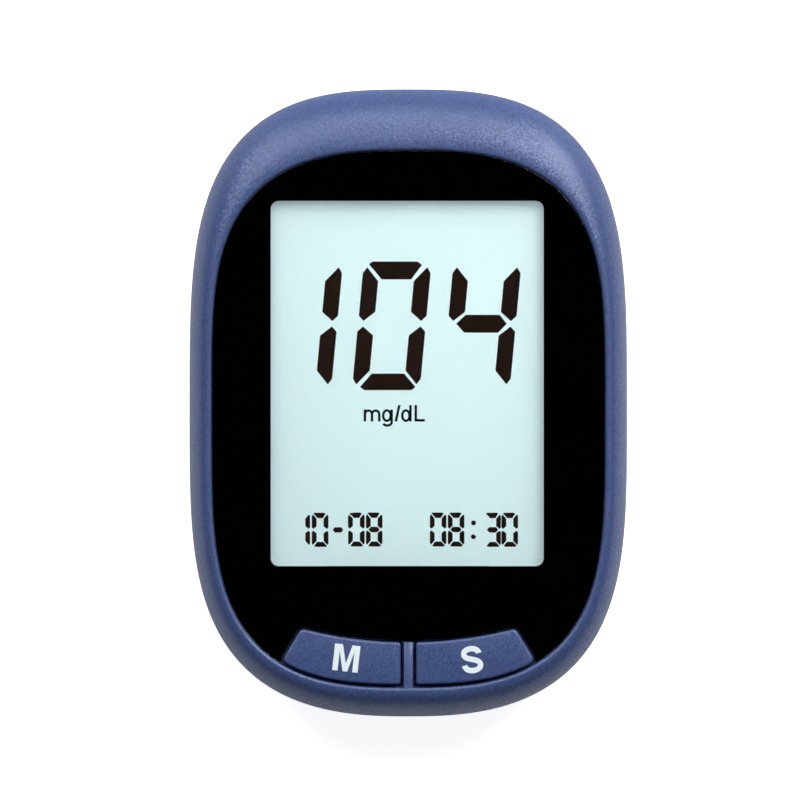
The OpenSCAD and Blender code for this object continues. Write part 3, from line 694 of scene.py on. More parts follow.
lens = lens_sheet("front_lens", flat_section(lens_low, lens_high, 1, lens_gap, lens_edge),
                  lens_low, lens_high, acrylic)
dress(lens, "case", "lens", "display_lens", finish=acrylic)
ink = lens_sheet("window_print", flat_section(print_low, lens_low - print_air, 1, lens_gap),
                 print_low, lens_low, black_ink, window_path())
dress(ink, "case", "black_print", "lens_print", finish=black_ink)
tape = lens_sheet("lens_adhesive",
                  flat_section(ledge_top, print_low, 1, lens_gap + tape_inset),
                  ledge_top, print_low, black_tape, window_path(tape_margin))
dress(tape, "case", "tape", "lens_tape", finish=black_tape)

# ------------------------------------------------------------
# Liquid crystal display. Two glass panes with a pale reflector film below and a
# polarizing film above sit in a white tray on the board, and a striped silicone
# strip joins the glass's contact ledge to the board.
glass_x = 20.0
glass_y = (-26.45, 28.85)
contact_ledge = 2.8
film_inset = 0.4
reflector_z, rear_glass_z, front_glass_z, polarizer_z, polarizer_top = 16.2, 16.4, 17.1, 17.8, 18.0
board_low, board_top = 14.3, 15.3
tray_gap, tray_wall, tray_floor = 0.05, 0.8, 0.85

display_glass = clear("display_glass", (0.86, 0.95, 0.95, 1.0), 1.52)
# The polarizing film also glows faintly by itself: painted light that evens out the shade that the
# window's edges cast on the display.
polarizer_with_painted_glow = grained("polarizer_with_painted_glow", (206, 232, 233), (210, 236, 237), 0.4,
                          grain_size=0.1, depth=0.0005, spread=0.03,
                          Emission_Color=srgb(208, 234, 235), Emission_Strength=0.35)
reflector_film = grained("reflector_film", (196, 216, 218), (212, 230, 231), 0.3,
                         grain_size=0.1, depth=0.002, Metallic=0.4)
white_plastic = grained("white_plastic", (214, 214, 210), (226, 226, 222), 0.45,
                        grain_size=0.2, depth=0.006)

inner_low = glass_y[0] + contact_ledge
for name, low_y, z, inset, bevel, node, slot, finish in (
        ("front_glass", glass_y[0], (front_glass_z, polarizer_z), 0, 0.05,
         "lcd_front_glass", "cell_glass", display_glass),
        ("rear_glass", inner_low, (rear_glass_z, front_glass_z), 0, 0.05,
         "lcd_rear_glass", "cell_glass", display_glass),
        ("reflector", inner_low, (reflector_z, rear_glass_z), film_inset, 0.02,
         "lcd_reflector", "reflector", reflector_film),
        ("polarizer", inner_low, (polarizer_z, polarizer_top), film_inset, 0.02,
         "lcd_front_polarizer", "polarizer", polarizer_with_painted_glow)):
    sheet = box(name, (-glass_x + inset, glass_x - inset), (low_y + inset, glass_y[1] - inset),
                z, bevel)
    dress(sheet, "case", slot, node, finish=finish)


def round_glass(name, grown, z, bevel=0.0):
    """A box that stands out round the glass by so much."""
    return box(name, (-glass_x - grown, glass_x + grown),
               (glass_y[0] - grown, glass_y[1] + grown), z, bevel)


tray = round_glass("display_tray", tray_wall, (board_top + tray_gap, polarizer_z), 0.15)
room = round_glass("room", tray_gap, (board_top + tray_floor, polarizer_z + past))
strip_slot = box("strip_slot", (-glass_x + 0.5, glass_x - 0.5),
                 (glass_y[0] + 0.2, glass_y[0] + 2.6), (board_top - past, polarizer_z))
dress(tidy(cut(tray, room, strip_slot)), "case", "white_plastic", "lcd_frame",
      finish=white_plastic)

# The strip is pink silicone with a row of carbon stripes across its middle.
stripes, given, result = new_group("fine stripes", "ShaderNodeTree",
                                   {"Pitch": "Float"}, {"Mask": "Float"})
along_x = add_node(stripes, "ShaderNodeSeparateXYZ",
                   [add_node(stripes, "ShaderNodeTexCoord").outputs["Object"]]).outputs[0]
part_of_pitch = calc(stripes, "FRACT", calc(stripes, "DIVIDE", along_x, given["Pitch"]))
stripes.links.new(calc(stripes, "GREATER_THAN", part_of_pitch, 0.5), result["Mask"])
striped_silicone, tree, shader = new_material("striped_silicone", srgb(214, 120, 140), 0.5)
stripe = add_node(tree, "ShaderNodeGroup", {"Pitch": 0.2 * MM}, node_tree=stripes).outputs["Mask"]
tree.links.new(mixed_colour(tree, stripe, srgb(214, 128, 146), srgb(40, 34, 36)),
               shader.inputs["Base Color"])
zebra = box("contact_strip", (-glass_x + 1, glass_x - 1),
            (glass_y[0] + 0.4, glass_y[0] + 2.4), (board_top, front_glass_z), 0.15)
dress(zebra, "case", "silicone", "zebra_strip", finish=striped_silicone)

# What the display shows: slanted large figures, a unit, and a date and time in small
# figures. All are made of flat bars just on the film, in photograph pixels; they lie
# nearer to the camera than the seam does, so they are drawn a little smaller.
photo_middle = (408.3, 402.85)
photo_mm = 0.137446
camera_distance = 2.5
nearer = 1 - (polarizer_top - seam_z) * MM / camera_distance
shown_low, shown_high = polarizer_top - 0.005, polarizer_top + 0.012
slant = 0.0926
slant_from = 326.0
dark_crystal = grained("dark_crystal", (36, 24, 20), (43, 30, 25), 0.45,
                       grain_size=0.1, depth=0.0005, Specular_IOR_Level=0.0)
unit_ink = grained("unit_ink", (17, 25, 25), (22, 30, 30), 0.45, grain_size=0.1,
                   depth=0.0005, Specular_IOR_Level=0.0)
figure_bars = {"0": "abcdef", "1": "bc", "3": "abcdg", "4": "bcfg", "8": "abcdefg"}


def figure(character, left, top, width, height, upright, level, middle, slanted=False):
    """The flat bars of one figure in its cell; upright and level are the bars' widths."""
    w, h, v, e, m = width, height, upright, level, middle
    upper_bar, lower_bar = [
        [(0.24 * v, 0.32 * e), (v, 1.10 * e), (v, reach - 0.66 * e), (0.32 * v, reach - 0.15 * e),
         (0, reach - 0.44 * e), (0, 0.65 * e)] for reach in (m, h - m)]
    bars = {
        "a": [(0.54 * v, 0), (w - 0.88 * v, 0), (w - 0.58 * v, 0.19 * e), (w - 1.17 * v, e),
              (1.2 * v, e), (0.33 * v, 0.15 * e)],
        "b": [(w - x, y) for x, y in upper_bar],
        "c": [(w - x, h - y) for x, y in lower_bar],
        "d": [(1.13 * v, h - 0.93 * e), (w - 1.07 * v, h - 0.93 * e), (w - 0.29 * v, h - 0.18 * e),
              (w - 0.51 * v, h), (0.78 * v, h), (0.48 * v, h - 0.18 * e)],
        "e": [(x, h - y) for x, y in lower_bar],
        "f": upper_bar,
        "g": [(0.51 * v, m), (1.06 * v, m - e / 2), (w - 1.05 * v, m - e / 2), (w - 0.57 * v, m),
              (w - 1.05 * v, m + e / 2), (1.06 * v, m + e / 2)]}
    shapes = []
    for letter in figure_bars[character]:
        shape = [(left + x, top + y) for x, y in bars[letter]]
        if slanted:
            shape = [(x + slant * (slant_from - y), y) for x, y in shape]
        shapes.append(shape)
    return shapes


def bow(middle, radii, first, last, count=16):
    """Points on an ellipse from first to last degrees."""
    return [(middle[0] + radii[0] * math.cos(angle), middle[1] + radii[1] * math.sin(angle))
            for angle in arc_steps(first, last, count)]


def flat_shapes(name, shapes, low, high):
    """Thin solids on flat outlines in mm, all in one piece."""
    points, faces = [], []
    for shape in shapes:
        count = len(shape)
        first = len(points)
        points += lift(shape, low) + lift(shape, high)
        faces.append([first + i for i in range(count)])
        faces.append([first + count + i for i in range(count)])
        for i in range(count):
            k = (i + 1) % count
            faces.append([first + i, first + k, first + count + k, first + count + i])
    return tidy(new_piece(name, points, faces))


def on_display(shapes):
    """Outlines from photograph pixels to mm."""
    scale = photo_mm * nearer
    return [[((x - photo_middle[0]) * scale, (photo_middle[1] - y) * scale)
             for x, y in shape] for shape in shapes]


big = {"top": 262.0, "width": 67.7, "height": 128.2, "upright": 16.1, "level": 17.8,
       "middle": 61.95, "slanted": True}
small = {"top": 512.5, "width": 16.5, "height": 34.0, "upright": 4.75, "level": 5.4, "middle": 17.0}
shapes = []
for sizes, characters, lefts in (
        (big, "104", (269.7, 358.0, 447.5)),
        (small, "10080830", (294.0, 312.2, 348.1, 365.9, 429.8, 447.8, 484.0, 501.0))):
    for character, left in zip(characters, lefts):
        shapes += figure(character, left, **sizes)
shapes.append([(332.9, 529.5), (335.0, 526.9), (341.5, 526.9), (343.6, 529.5),
               (341.5, 532.1), (335.0, 532.1)])
dot_x, dot_r = 473.3, 2.45
for dot_y in (522.6, 536.7):
    shapes.append(bow((dot_x, dot_y), (dot_r, dot_r), 0, 345, 23))
figures = flat_shapes("display_figures", on_display(shapes), shown_low, shown_high)
dress(figures, "case", "black_print", finish=dark_crystal)


def stroke(path, width):
    """The outline of an even line with square ends."""
    left, right = [], []
    for k, here in enumerate(path):
        before, after = path[max(k - 1, 0)], path[min(k + 1, len(path) - 1)]
        run = math.hypot(after[0] - before[0], after[1] - before[1])
        across = ((before[1] - after[1]) / run * width / 2,
                  (after[0] - before[0]) / run * width / 2)
        left.append((here[0] + across[0], here[1] + across[1]))
        right.append((here[0] - across[0], here[1] - across[1]))
    return left + right[::-1]


def bowl(middle, across, up):
    """The closed outline of a letter's round part."""
    return bow(middle, (across, up), 0, 348, 29)


# The unit: even strokes, in photograph pixels above the letters' foot line.
foot_line = 421.5
pen = 2.5
letter_top, small_top = 16.4, 12.0
bowls = [(387.0, 5.9), (405.9, 5.9)]
shapes = [
    bowl(bowls[0], 5.0, 6.4), bowl(bowls[1], 4.85, 6.4),
    stroke([(365.1, 0), (365.1, small_top)], pen),
    stroke(bow((368.65, 7.3), (3.5, 3.6), 178, 0) + [(372.15, 0)], pen),
    stroke(bow((375.75, 7.3), (3.6, 3.6), 178, 0) + [(379.35, 0)], pen),
    stroke([(391.7, small_top)] + bow((387.4, -0.9), (4.3, 3.1), 0, -158), pen),
    [(394.6, 0), (397.1, 0), (400.6, letter_top), (398.1, letter_top)],
    stroke([(410.4, 0), (410.4, letter_top)], pen),
    stroke([(415.75, 0), (415.75, letter_top)], pen),
    stroke([(414.65, pen / 2), (424.8, pen / 2)], pen)]
bowl_rooms = [bowl(bowls[0], 2.5, 4.0), bowl(bowls[1], 2.35, 4.0)]


def unit_solid(shape, overlap=0.0):
    """One stroke of the unit as a thin solid, or a cutter that is higher by the overlap."""
    path = on_display([[(x, foot_line - y) for x, y in shape]])[0]
    return prism("display_unit", path, shown_low - overlap, shown_high + overlap)


strokes = [unit_solid(shape) for shape in shapes]
for k, room in enumerate(bowl_rooms):
    cut(strokes[k], unit_solid(room, past))
unit = weld(*strokes)
unit.name = unit.data.name = "display_unit"
dress(tidy(unit), "case", "black_print", finish=unit_ink)

# ------------------------------------------------------------
# Keys. Two ABS keys in the case's lacquer, with softly rounded edges, rest on wide
# flanges under the ledge. Their pads push the switches, and a pale letter is
# printed on each.
key_low, key_top = 17.9, 20.95
key_round = 0.35
flange_low, flange_top = 17.6, 18.1
flange_grown = 0.85
flange_inner_x = 0.625
pad_low, pad_r = 17.5, 1.6
switch_at = (9.0, -35.0)
letter_root, letter_rise = 0.002, 0.015

key_paint = pearl_paint("pearl_blue_keys", *lacquer)
key_print = grained("pale_print", (226, 240, 242), (234, 246, 248), 0.5,
                    grain_size=0.06, depth=0.001, spread=0.04)
for name, side, node in (("key_m", -1, "m_button"), ("key_s", 1, "s_button")):
    rings = [lift(key_path(0, side), key_low)]
    for angle in arc_steps(0, 90, 6):
        drawn_in = key_round * (1 - math.cos(angle))
        rings.append(lift(key_path(-drawn_in, side), key_top - key_round * (1 - math.sin(angle))))
    key = loft(name, rings)
    rim = [(max(x, flange_inner_x), y) for x, y in key_path(flange_grown)]
    flange = prism("flange", on_side(side, rim), flange_low, flange_top)
    pad = rod(pad_r, pad_low, flange_top - 0.1, (side * switch_at[0], switch_at[1]))
    weld(key, flange, pad)
    dress(tidy(key), node.replace("button", "key"), "key", node, finish=key_paint)

print_z = (key_top - letter_root, key_top + letter_rise)


def bent(start, pull_on, pull_back, end):
    """Points on a curve from start to end that is pulled towards two points."""
    points, steps = [], 10
    for k in range(steps):
        t = k / steps
        shares = ((1 - t) ** 3, 3 * t * (1 - t) ** 2, 3 * t * t * (1 - t), t ** 3)
        points.append(tuple(sum(share * spot[i] for share, spot in
                                zip(shares, (start, pull_on, pull_back, end))) for i in (0, 1)))
    return points


# Plain bold letters, drawn in mm round their middles and turned along the keys' arc.
stem = 0.74
half_w, half_h = 1.75, 1.835
letter_m = [(-half_w, -half_h), (-half_w + stem, -half_h), (-half_w + stem, 0.95),
            (-0.33, -half_h), (0.33, -half_h), (half_w - stem, 0.95), (half_w - stem, -half_h),
            (half_w, -half_h), (half_w, half_h), (0.66, half_h), (0.0, -0.75), (-0.66, half_h),
            (-half_w, half_h)]
line_s = (bent((1.03, 0.80), (1.0, 1.19), (0.56, 1.5), (0, 1.5))
          + bent((0, 1.5), (-0.58, 1.5), (-1.04, 1.24), (-1.04, 0.83))
          + bent((-1.04, 0.83), (-1.04, 0.32), (-0.5, 0.2), (0, 0.04))
          + bent((0, 0.04), (0.5, -0.12), (1.09, -0.27), (1.09, -0.80))
          + bent((1.09, -0.80), (1.09, -1.24), (0.6, -1.5), (0, -1.5))
          + bent((0, -1.5), (-0.62, -1.5), (-1.06, -1.2), (-1.11, -0.72))
          + [(-1.11, -0.72)])
for name, shape, middle, turn, body in (
        ("letter_m", letter_m, (-8.49, -34.93), -6.5, "m_key"),
        ("letter_s", stroke(line_s, stem), (8.71, -35.14), 6.5, "s_key")):
    cosine, sine = math.cos(math.radians(turn)), math.sin(math.radians(turn))
    path = [(middle[0] + x * cosine - y * sine, middle[1] + x * sine + y * cosine)
            for x, y in shape]
    dress(prism(name, path, *print_z), body, "key", finish=key_print)

# ------------------------------------------------------------
# Key switches. Under each key a small surface-mounted push switch: a black moulded
# base, a stamped steel cover and a red plunger that carries the key's pad.
switch_half = 2.5
cover_low, cover_top = 16.75, 16.95
plunger_low, plunger_top, plunger_r = 16.35, 17.45, 1.2
switch_hole_r = 1.35
plunger_room = 0.45
switch_black = grained("switch_black", (24, 24, 26), (36, 36, 38), 0.5, grain_size=0.1,
                       depth=0.004)
switch_red = grained("switch_red", (168, 44, 34), (188, 54, 42), 0.4, grain_size=0.1,
                     depth=0.004)
steel = grained("nickelled_steel", (176, 176, 180), (206, 206, 208), 0.3,
                grain_size=0.15, depth=0.003, Metallic=1.0)
for letter, side in (("m", -1), ("s", 1)):
    x, y = side * switch_at[0], switch_at[1]
    sides = ((x - switch_half, x + switch_half), (y - switch_half, y + switch_half))
    base = box(letter + "_switch_body", *sides, (board_top, cover_low), 0.15)
    cut(base, rod(switch_hole_r, plunger_low - plunger_room, cover_top, (x, y)))
    dress(tidy(base), "case", "switch_black", letter + "_switch_base", finish=switch_black)
    cover = box(letter + "_switch_lid", *sides, (cover_low, cover_top), 0.06)
    cut(cover, rod(switch_hole_r, cover_low - past, cover_top + past, (x, y)))
    dress(tidy(cover), "case", "steel", letter + "_switch_cover", finish=steel)
    plunger = turned(letter + "_switch_pin",
                     [(plunger_r, plunger_low), (plunger_r, plunger_top - 0.15),
                      (plunger_r - 0.05, plunger_top - 0.05), (plunger_r - 0.15, plunger_top)],
                     (x, y))
    dress(plunger, letter + "_plunger", "switch_red", letter + "_switch_plunger",
          finish=switch_red)

# ------------------------------------------------------------
# Main board. A green glass-epoxy board that fills the case's outline, with tracks
# under its lacquer; the two chips, a crystal, a sounder and rows of small parts are
# soldered to its underside.
board_inset = 3.9
squares_per_pitch, tracks_per_square, track_gap, pad_reach = 0.25, 4.0, 0.55, 0.07
copper, given, result = new_group("copper tracks", "ShaderNodeTree",
                                  {"Track pitch": "Float"}, {"Tracks": "Float", "Pads": "Float"})
squares = add_node(copper, "ShaderNodeTexVoronoi", {
    "Vector": add_node(copper, "ShaderNodeTexCoord").outputs["Object"],
    "Scale": calc(copper, "DIVIDE", squares_per_pitch, given["Track pitch"])},
    voronoi_dimensions="2D", distance="CHEBYCHEV").outputs["Distance"]
steps = calc(copper, "FRACT", calc(copper, "MULTIPLY", squares, tracks_per_square))
copper.links.new(calc(copper, "GREATER_THAN", steps, track_gap), result["Tracks"])
copper.links.new(calc(copper, "LESS_THAN", squares, pad_reach), result["Pads"])
green_board, tree, shader = new_material("green_board", srgb(24, 84, 52), 0.35)
surface = add_node(tree, "ShaderNodeGroup", {"Track pitch": 0.9 * MM}, node_tree=copper).outputs
lacquered = mixed_colour(tree, surface["Tracks"], srgb(20, 76, 46), srgb(38, 106, 64))
tree.links.new(mixed_colour(tree, surface["Pads"], lacquered, srgb(190, 178, 140)),
               shader.inputs["Base Color"])
tree.links.new(surface["Pads"], shader.inputs["Metallic"])

board = tidy(swept("circuit_board", [(0, 0, board_low, 0), (0, board_inset, board_low, 1),
                                     (0, board_inset, board_top, 1), (0, 0, board_top, 0)],
                   green_board, 144))
holes = [rod(radius, board_low - past, board_top + past, (side * x, y), 32)
         for side in both_sides
         for spots, radius in ((housing_posts, 2.8), (board_posts, 0.95))
         for x, y in spots]
cut(board, *holes)
dress(tidy(board), "case", "circuit_board", "main_board", finish=green_board)

# A row of equal copies, for what repeats along a line: legs, small parts, grooves.
copies, given, result = new_group(
    "row of copies", "GeometryNodeTree",
    {"One": "Geometry", "Count": "Int", "Pitch": "Vector", "Finish": "Material"},
    {"Piece": "Geometry"})
line = add_node(copies, "GeometryNodeMeshLine", {
    "Count": given["Count"], "Offset": given["Pitch"]}, mode="OFFSET").outputs[0]
row = add_node(copies, "GeometryNodeInstanceOnPoints", {
    "Points": line, "Instance": given["One"]}).outputs[0]
finished(copies, row, given["Finish"], result["Piece"])


def repeated(piece, count, pitch, finish):
    """The piece copied along a line, each copy one pitch in mm further on."""
    grow(piece, copies, {"Count": count, "Pitch": tuple(v * MM for v in pitch),
                         "Finish": finish})
    return piece


def joined(first, *others):
    """One piece out of several, with all their materials."""
    work = bmesh.new()
    finishes = []
    for piece in (first, *others):
        start = len(work.faces)
        work.from_mesh(piece.data)
        work.faces.ensure_lookup_table()
        own = list(piece.data.materials)
        for face in work.faces[start:]:
            finish = own[face.material_index]
            if finish not in finishes:
                finishes.append(finish)
            face.material_index = finishes.index(finish)
    work.to_mesh(first.data)
    work.free()
    first.data.materials.clear()
    for finish in finishes:
        first.data.materials.append(finish)
    for piece in others:
        bpy.data.objects.remove(piece)
    return tidy(first)


chip_black = grained("chip_black", (26, 26, 28), (38, 38, 40), 0.6, grain_size=0.08,
                     depth=0.006)
ceramic = grained("ceramic", (150, 124, 92), (172, 146, 110), 0.5, grain_size=0.1,
                  depth=0.003)
leg_size = (0.25, 0.6, 0.16)
leg_in, leg_root = 0.4, 0.1
mark_r, mark_in, mark_depth = 0.3, 0.8, 0.06


def chip(name, middle, size, legs, node):
    """A moulded chip on the board's underside with a row of legs on two sides."""
    x, y = middle
    wide, long, high = size
    half = long / 2 - leg_size[1]
    body = box(name, (x - wide / 2, x + wide / 2), (y - half, y + half),
               (board_low - high, board_low - 0.1), 0.12)
    cut(body, rod(mark_r, board_low - high - past, board_low - high + mark_depth,
                  (x - wide / 2 + mark_in, y - half + mark_in), 24))
    painted(body, chip_black)
    rows = []
    pitch = (wide - 2 * leg_in) / (legs - 1)
    leg_x = x - wide / 2 + leg_in
    for way in both_sides:
        ends = sorted((y + way * (half - leg_root), y + way * long / 2))
        foot = box("leg", (leg_x - leg_size[0] / 2, leg_x + leg_size[0] / 2), ends,
                   (board_low - leg_size[2], board_low))
        rows.append(repeated(foot, legs, (pitch, 0, 0), steel))
    return dress(joined(body, *rows), "case", "chip", node)


chip("main_chip", (-18.5, 12.0), (8.0, 8.0, 1.4), 12, "processor")
chip("meter_chip", (11.5, 26.0), (5.0, 4.0, 1.2), 6, "measuring_chip")
can = box("clock_can", (-20.1, -16.9), (0.5, 6.5), (board_low - 1.6, board_low), 0.35)
dress(can, "case", "steel", "crystal", finish=steel)

sounder_at = (18.5, 6.0)
sounder = turned("sounder", [(4.35, 11.3), (4.6, 11.55), (4.6, 14.0), (4.5, 14.3)], sounder_at)
cut(sounder, turned("hole", [(1.1, 10.3), (1.1, 11.3), (1.0, 11.4), (1.0, 12.8)], sounder_at, 32))
dress(tidy(sounder), "case", "chip", "buzzer", finish=chip_black)

small_rows = []
cap_from, part_height, ceramic_drop = 0.6, 0.7, 0.02
for count, x, y, wide, long, pitch in (
        (5, -22, 20, 0.9, 1.7, (1.8, 0, 0)), (3, -12, 26.5, 0.9, 1.7, (2, 0, 0)),
        (5, -18, -4, 1.7, 0.9, (0, -2.2, 0)), (4, 18, -4, 1.7, 0.9, (0, -2.2, 0))):
    for low, high, finish in ((-1.0, -cap_from, steel), (-cap_from, cap_from, ceramic),
                              (cap_from, 1.0, steel)):
        half_x, half_y = wide / 2, long / 2
        drop = ceramic_drop if finish is ceramic else 0.0
        if wide > long:
            place = ((x + half_x * low, x + half_x * high), (y - half_y + drop, y + half_y - drop))
        else:
            place = ((x - half_x + drop, x + half_x - drop), (y + half_y * low, y + half_y * high))
        part = box("small_part", *place, (board_low - part_height + drop, board_low))
        small_rows.append(repeated(part, count, pitch, finish))
small_parts = joined(*small_rows)
small_parts.name = small_parts.data.name = "small_parts"
dress(small_parts, "case", "ceramic", "chip_parts")

# ------------------------------------------------------------
# Strip port. A black moulded connector under the board reaches through the upper
# end of the case; five gold-plated springs in its slots press on a test strip.
strip_half = 3.3
slot_z = (11.3, 12.3)
connector_y = (27.0, 38.4)
nose_end_y = 42.1
contact_pitch = 1.1
contact_half, slit_half = 0.3, 0.4
funnel = 0.7
port_black = grained("port_black", (28, 28, 30), (42, 42, 44), 0.45, grain_size=0.2,
                     depth=0.006)
gold = grained("gold_plate", (214, 168, 78), (232, 190, 102), 0.28, grain_size=0.1,
               depth=0.001, Metallic=1.0)
connector = box("port_block", (-nose_half, nose_half), connector_y, (nose_low, board_low), 0.1)
weld(connector, box("nose", (-nose_half, nose_half), (connector_y[1] - past, nose_end_y),
                    (nose_low, nose_high), 0.3))
mouth = [[(x * (strip_half + wider), y, z)
          for x, z in ((-1, slot_z[0] - wider), (1, slot_z[0] - wider),
                       (1, slot_z[1] + wider), (-1, slot_z[1] + wider))]
         for y, wider in ((connector_y[0] + 3, 0), (nose_end_y - funnel, 0), (nose_end_y, funnel),
                          (nose_end_y + past, funnel))]
first_contact_x = -2 * contact_pitch
slits = box("slit", (first_contact_x - slit_half, first_contact_x + slit_half),
            (connector_y[0] - past, connector_y[1] - 2), (slot_z[0], board_low + past))
repeated(slits, 5, (contact_pitch, 0, 0), port_black)
cut(connector, loft("mouth", mouth), slits)
dress(tidy(connector), "case", "switch_black", "strip_connector", finish=port_black)


def lying(piece):
    """Turns a piece that was drawn as Y, Z and X into its place."""
    piece.data.transform(Matrix(((0, 0, 1, 0), (1, 0, 0, 0), (0, 1, 0, 0), (0, 0, 0, 1))))
    return piece


spring_path = rounded_path([
    (26.0, 14.1, 0), (27.5, 14.1, 0.3), (28.2, 13.1, 0.5), (32.5, 11.9, 0.8), (34.5, 12.6, 0),
    (34.5, 12.8, 0), (32.5, 12.1, 0.6), (28.4, 13.3, 0.5), (27.7, 14.3, 0.1), (26.0, 14.3, 0)], 4)
contact = lying(prism("strip_springs", spring_path, first_contact_x - contact_half,
                      first_contact_x + contact_half))
repeated(contact, 5, (contact_pitch, 0, 0), gold)
dress(tidy(contact), "case", "gold_contact", "strip_contacts")

# ------------------------------------------------------------
# Board screws. Four small steel cross-head screws hold the board to posts of the
# front housing.
screw_tree, given, result = new_group(
    "cross screws", "GeometryNodeTree",
    {"Places": "Geometry", "Head radius": "Float", "Head height": "Float",
     "Shank radius": "Float", "Shank length": "Float", "Blade width": "Float",
     "Blade length": "Float", "Blade depth": "Float", "Finish": "Material"},
    {"Piece": "Geometry"})
head_chamfer, chamfer_share = 0.88, 0.25
screw_sides = 32
plus, minus, times, over = maths(screw_tree)


def round_bar(kind, depth, middle, **radii):
    """An upright cylinder of the screw, its middle at this height, or a cone that stands at 0."""
    sizes = {label.replace("_", " "): value for label, value in radii.items()}
    bar = add_node(screw_tree, kind, {"Vertices": screw_sides, "Depth": depth, **sizes}).outputs[0]
    if middle is None:
        return bar
    offset = add_node(screw_tree, "ShaderNodeCombineXYZ", [0.0, 0.0, middle]).outputs[0]
    return add_node(screw_tree, "GeometryNodeTransform", {
        "Geometry": bar, "Translation": offset}).outputs[0]


edge_height = times(given["Head height"], chamfer_share)
drum_height = minus(given["Head height"], edge_height)
lower_face = round_bar("GeometryNodeMeshCone", edge_height, None, Radius_Top=given["Head radius"],
                       Radius_Bottom=times(given["Head radius"], head_chamfer))
drum_middle = calc(screw_tree, "MULTIPLY_ADD", drum_height, 0.5, edge_height)
drum = round_bar("GeometryNodeMeshCylinder", drum_height, drum_middle, Radius=given["Head radius"])
shank_depth = plus(given["Shank length"], edge_height)
shank_middle = calc(screw_tree, "MULTIPLY_ADD", shank_depth, 0.5, drum_height)
shank = round_bar("GeometryNodeMeshCylinder", shank_depth, shank_middle,
                  Radius=given["Shank radius"])
blades = []
for first, second in (("Blade length", "Blade width"), ("Blade width", "Blade length")):
    extent = add_node(screw_tree, "ShaderNodeCombineXYZ", [
        given[first], given[second], times(given["Blade depth"], 2.0)]).outputs[0]
    blades.append(add_node(screw_tree, "GeometryNodeMeshCube", {"Size": extent}).outputs[0])
solid = add_node(screw_tree, "GeometryNodeMeshBoolean", operation="UNION", solver="EXACT")
for part in (lower_face, drum, shank):
    screw_tree.links.new(part, solid.inputs["Mesh 2"])
cross = add_node(screw_tree, "GeometryNodeMeshBoolean", operation="DIFFERENCE", solver="EXACT")
screw_tree.links.new(solid.outputs[0], cross.inputs["Mesh 1"])
for blade in blades:
    screw_tree.links.new(blade, cross.inputs["Mesh 2"])
dots = add_node(screw_tree, "GeometryNodeMeshToPoints", {"Mesh": given["Places"]}).outputs[0]
screws = add_node(screw_tree, "GeometryNodeInstanceOnPoints", {
    "Points": dots, "Instance": cross.outputs[0]}).outputs[0]
finished(screw_tree, screws, given["Finish"], result["Piece"])


def screw_set(name, spots, head_z, node, **sizes):
    """All screws of one kind, with their heads' lower faces at head_z."""
    piece = new_piece(name, [(side * x, y, head_z) for side in both_sides for x, y in spots])
    sizes = {label.replace("_", " "): value * MM for label, value in sizes.items()}
    grow(piece, screw_tree, {**sizes, "Finish": steel})
    return dress(tidy(piece), "case", "steel", node)


screw_set("small_screws", board_posts, 13.3, "board_screws", Head_radius=1.5, Head_height=1.0,
          Shank_radius=0.8, Shank_length=2.9, Blade_width=0.56, Blade_length=1.6, Blade_depth=0.5)

# ------------------------------------------------------------
# Rear housing. The lower half of the case, in the same lacquered ABS. The battery
# bay and its sill, the counterbores of the four screws, the pockets for the
# door's hooks and snap, and a finger recess are moulded into it.
back_inset = 4.5
floor_z = 2.0
sill_z = 1.6
bay_x = 11.25
bay_y = (-31.5, 18.5)
bay_roof = 12.9
bay_wall = 1.0
door_size = (26.0, 56.0)
door_y = -6.5
door_corner = 2.0
edge_flare = 0.2
cell_x = 5.5
tab_slot_half = 1.3
hook_x, hook_half, hook_place_half = 8, 2, 2.3
snap_half, snap_gap_half, snap_place_half = 4.5, 4.7, 4.8
rear_post_r, rear_post_z = 3.0, (1.0, 10.4)
shaft_r, shaft_z = 1.3, (5.0, 11.5)
bore_profile = [(2.4, -past), (2.4, 0), (2.2, 0.3), (2.2, 6.0)]

back_paint = pearl_paint("pearl_blue_back", (50, 65, 108), (62, 79, 126), 0.46, 0.12)

back_rise = seam_z - seam_bevel
floor_angle = math.degrees(math.asin(1 - floor_z / back_rise))
section = [(0, 0, 0, 0)]
for angle in arc_steps(90, 0, 22):
    section.append((0, back_inset * (1 - math.cos(angle)), back_rise * (1 - math.sin(angle)), 1))
groove_wall = wall - tongue_wall + tongue_gap
section += [(0, seam_bevel, seam_z, 1), (0, groove_wall, seam_z, 1),
            (0, groove_wall, tongue_top, 1), (0, wall, tongue_top, 1)]
for angle in arc_steps(0, floor_angle, 8):
    section.append((0, wall + back_inset * (1 - math.cos(angle)),
                    back_rise * (1 - math.sin(angle)), 1))
section.append((0, 0, floor_z, 0))
rear_shell = tidy(swept("rear_shell", section, back_paint))


def flared(name, make_path, high, flare=edge_flare):
    """A cutter from below whose mouth at the back face is widened by a small chamfer."""
    return loft(name, [lift(make_path(flare), -past), lift(make_path(flare), 0),
                       lift(make_path(0), flare), lift(make_path(0), high)])


def door_recess(grown):
    """Outline of the place for the door, with a gap all round."""
    gap = 0.15 + grown
    return rounded_box(door_size[0] + 2 * gap, door_size[1] + 2 * gap, door_corner + gap, door_y)


def finger_recess(grown):
    """Outline of the shallow place for a fingertip below the door's snap."""
    return rounded_box(11 + 2 * grown, 6.5 + 2 * grown, 2 + grown, -38.8)


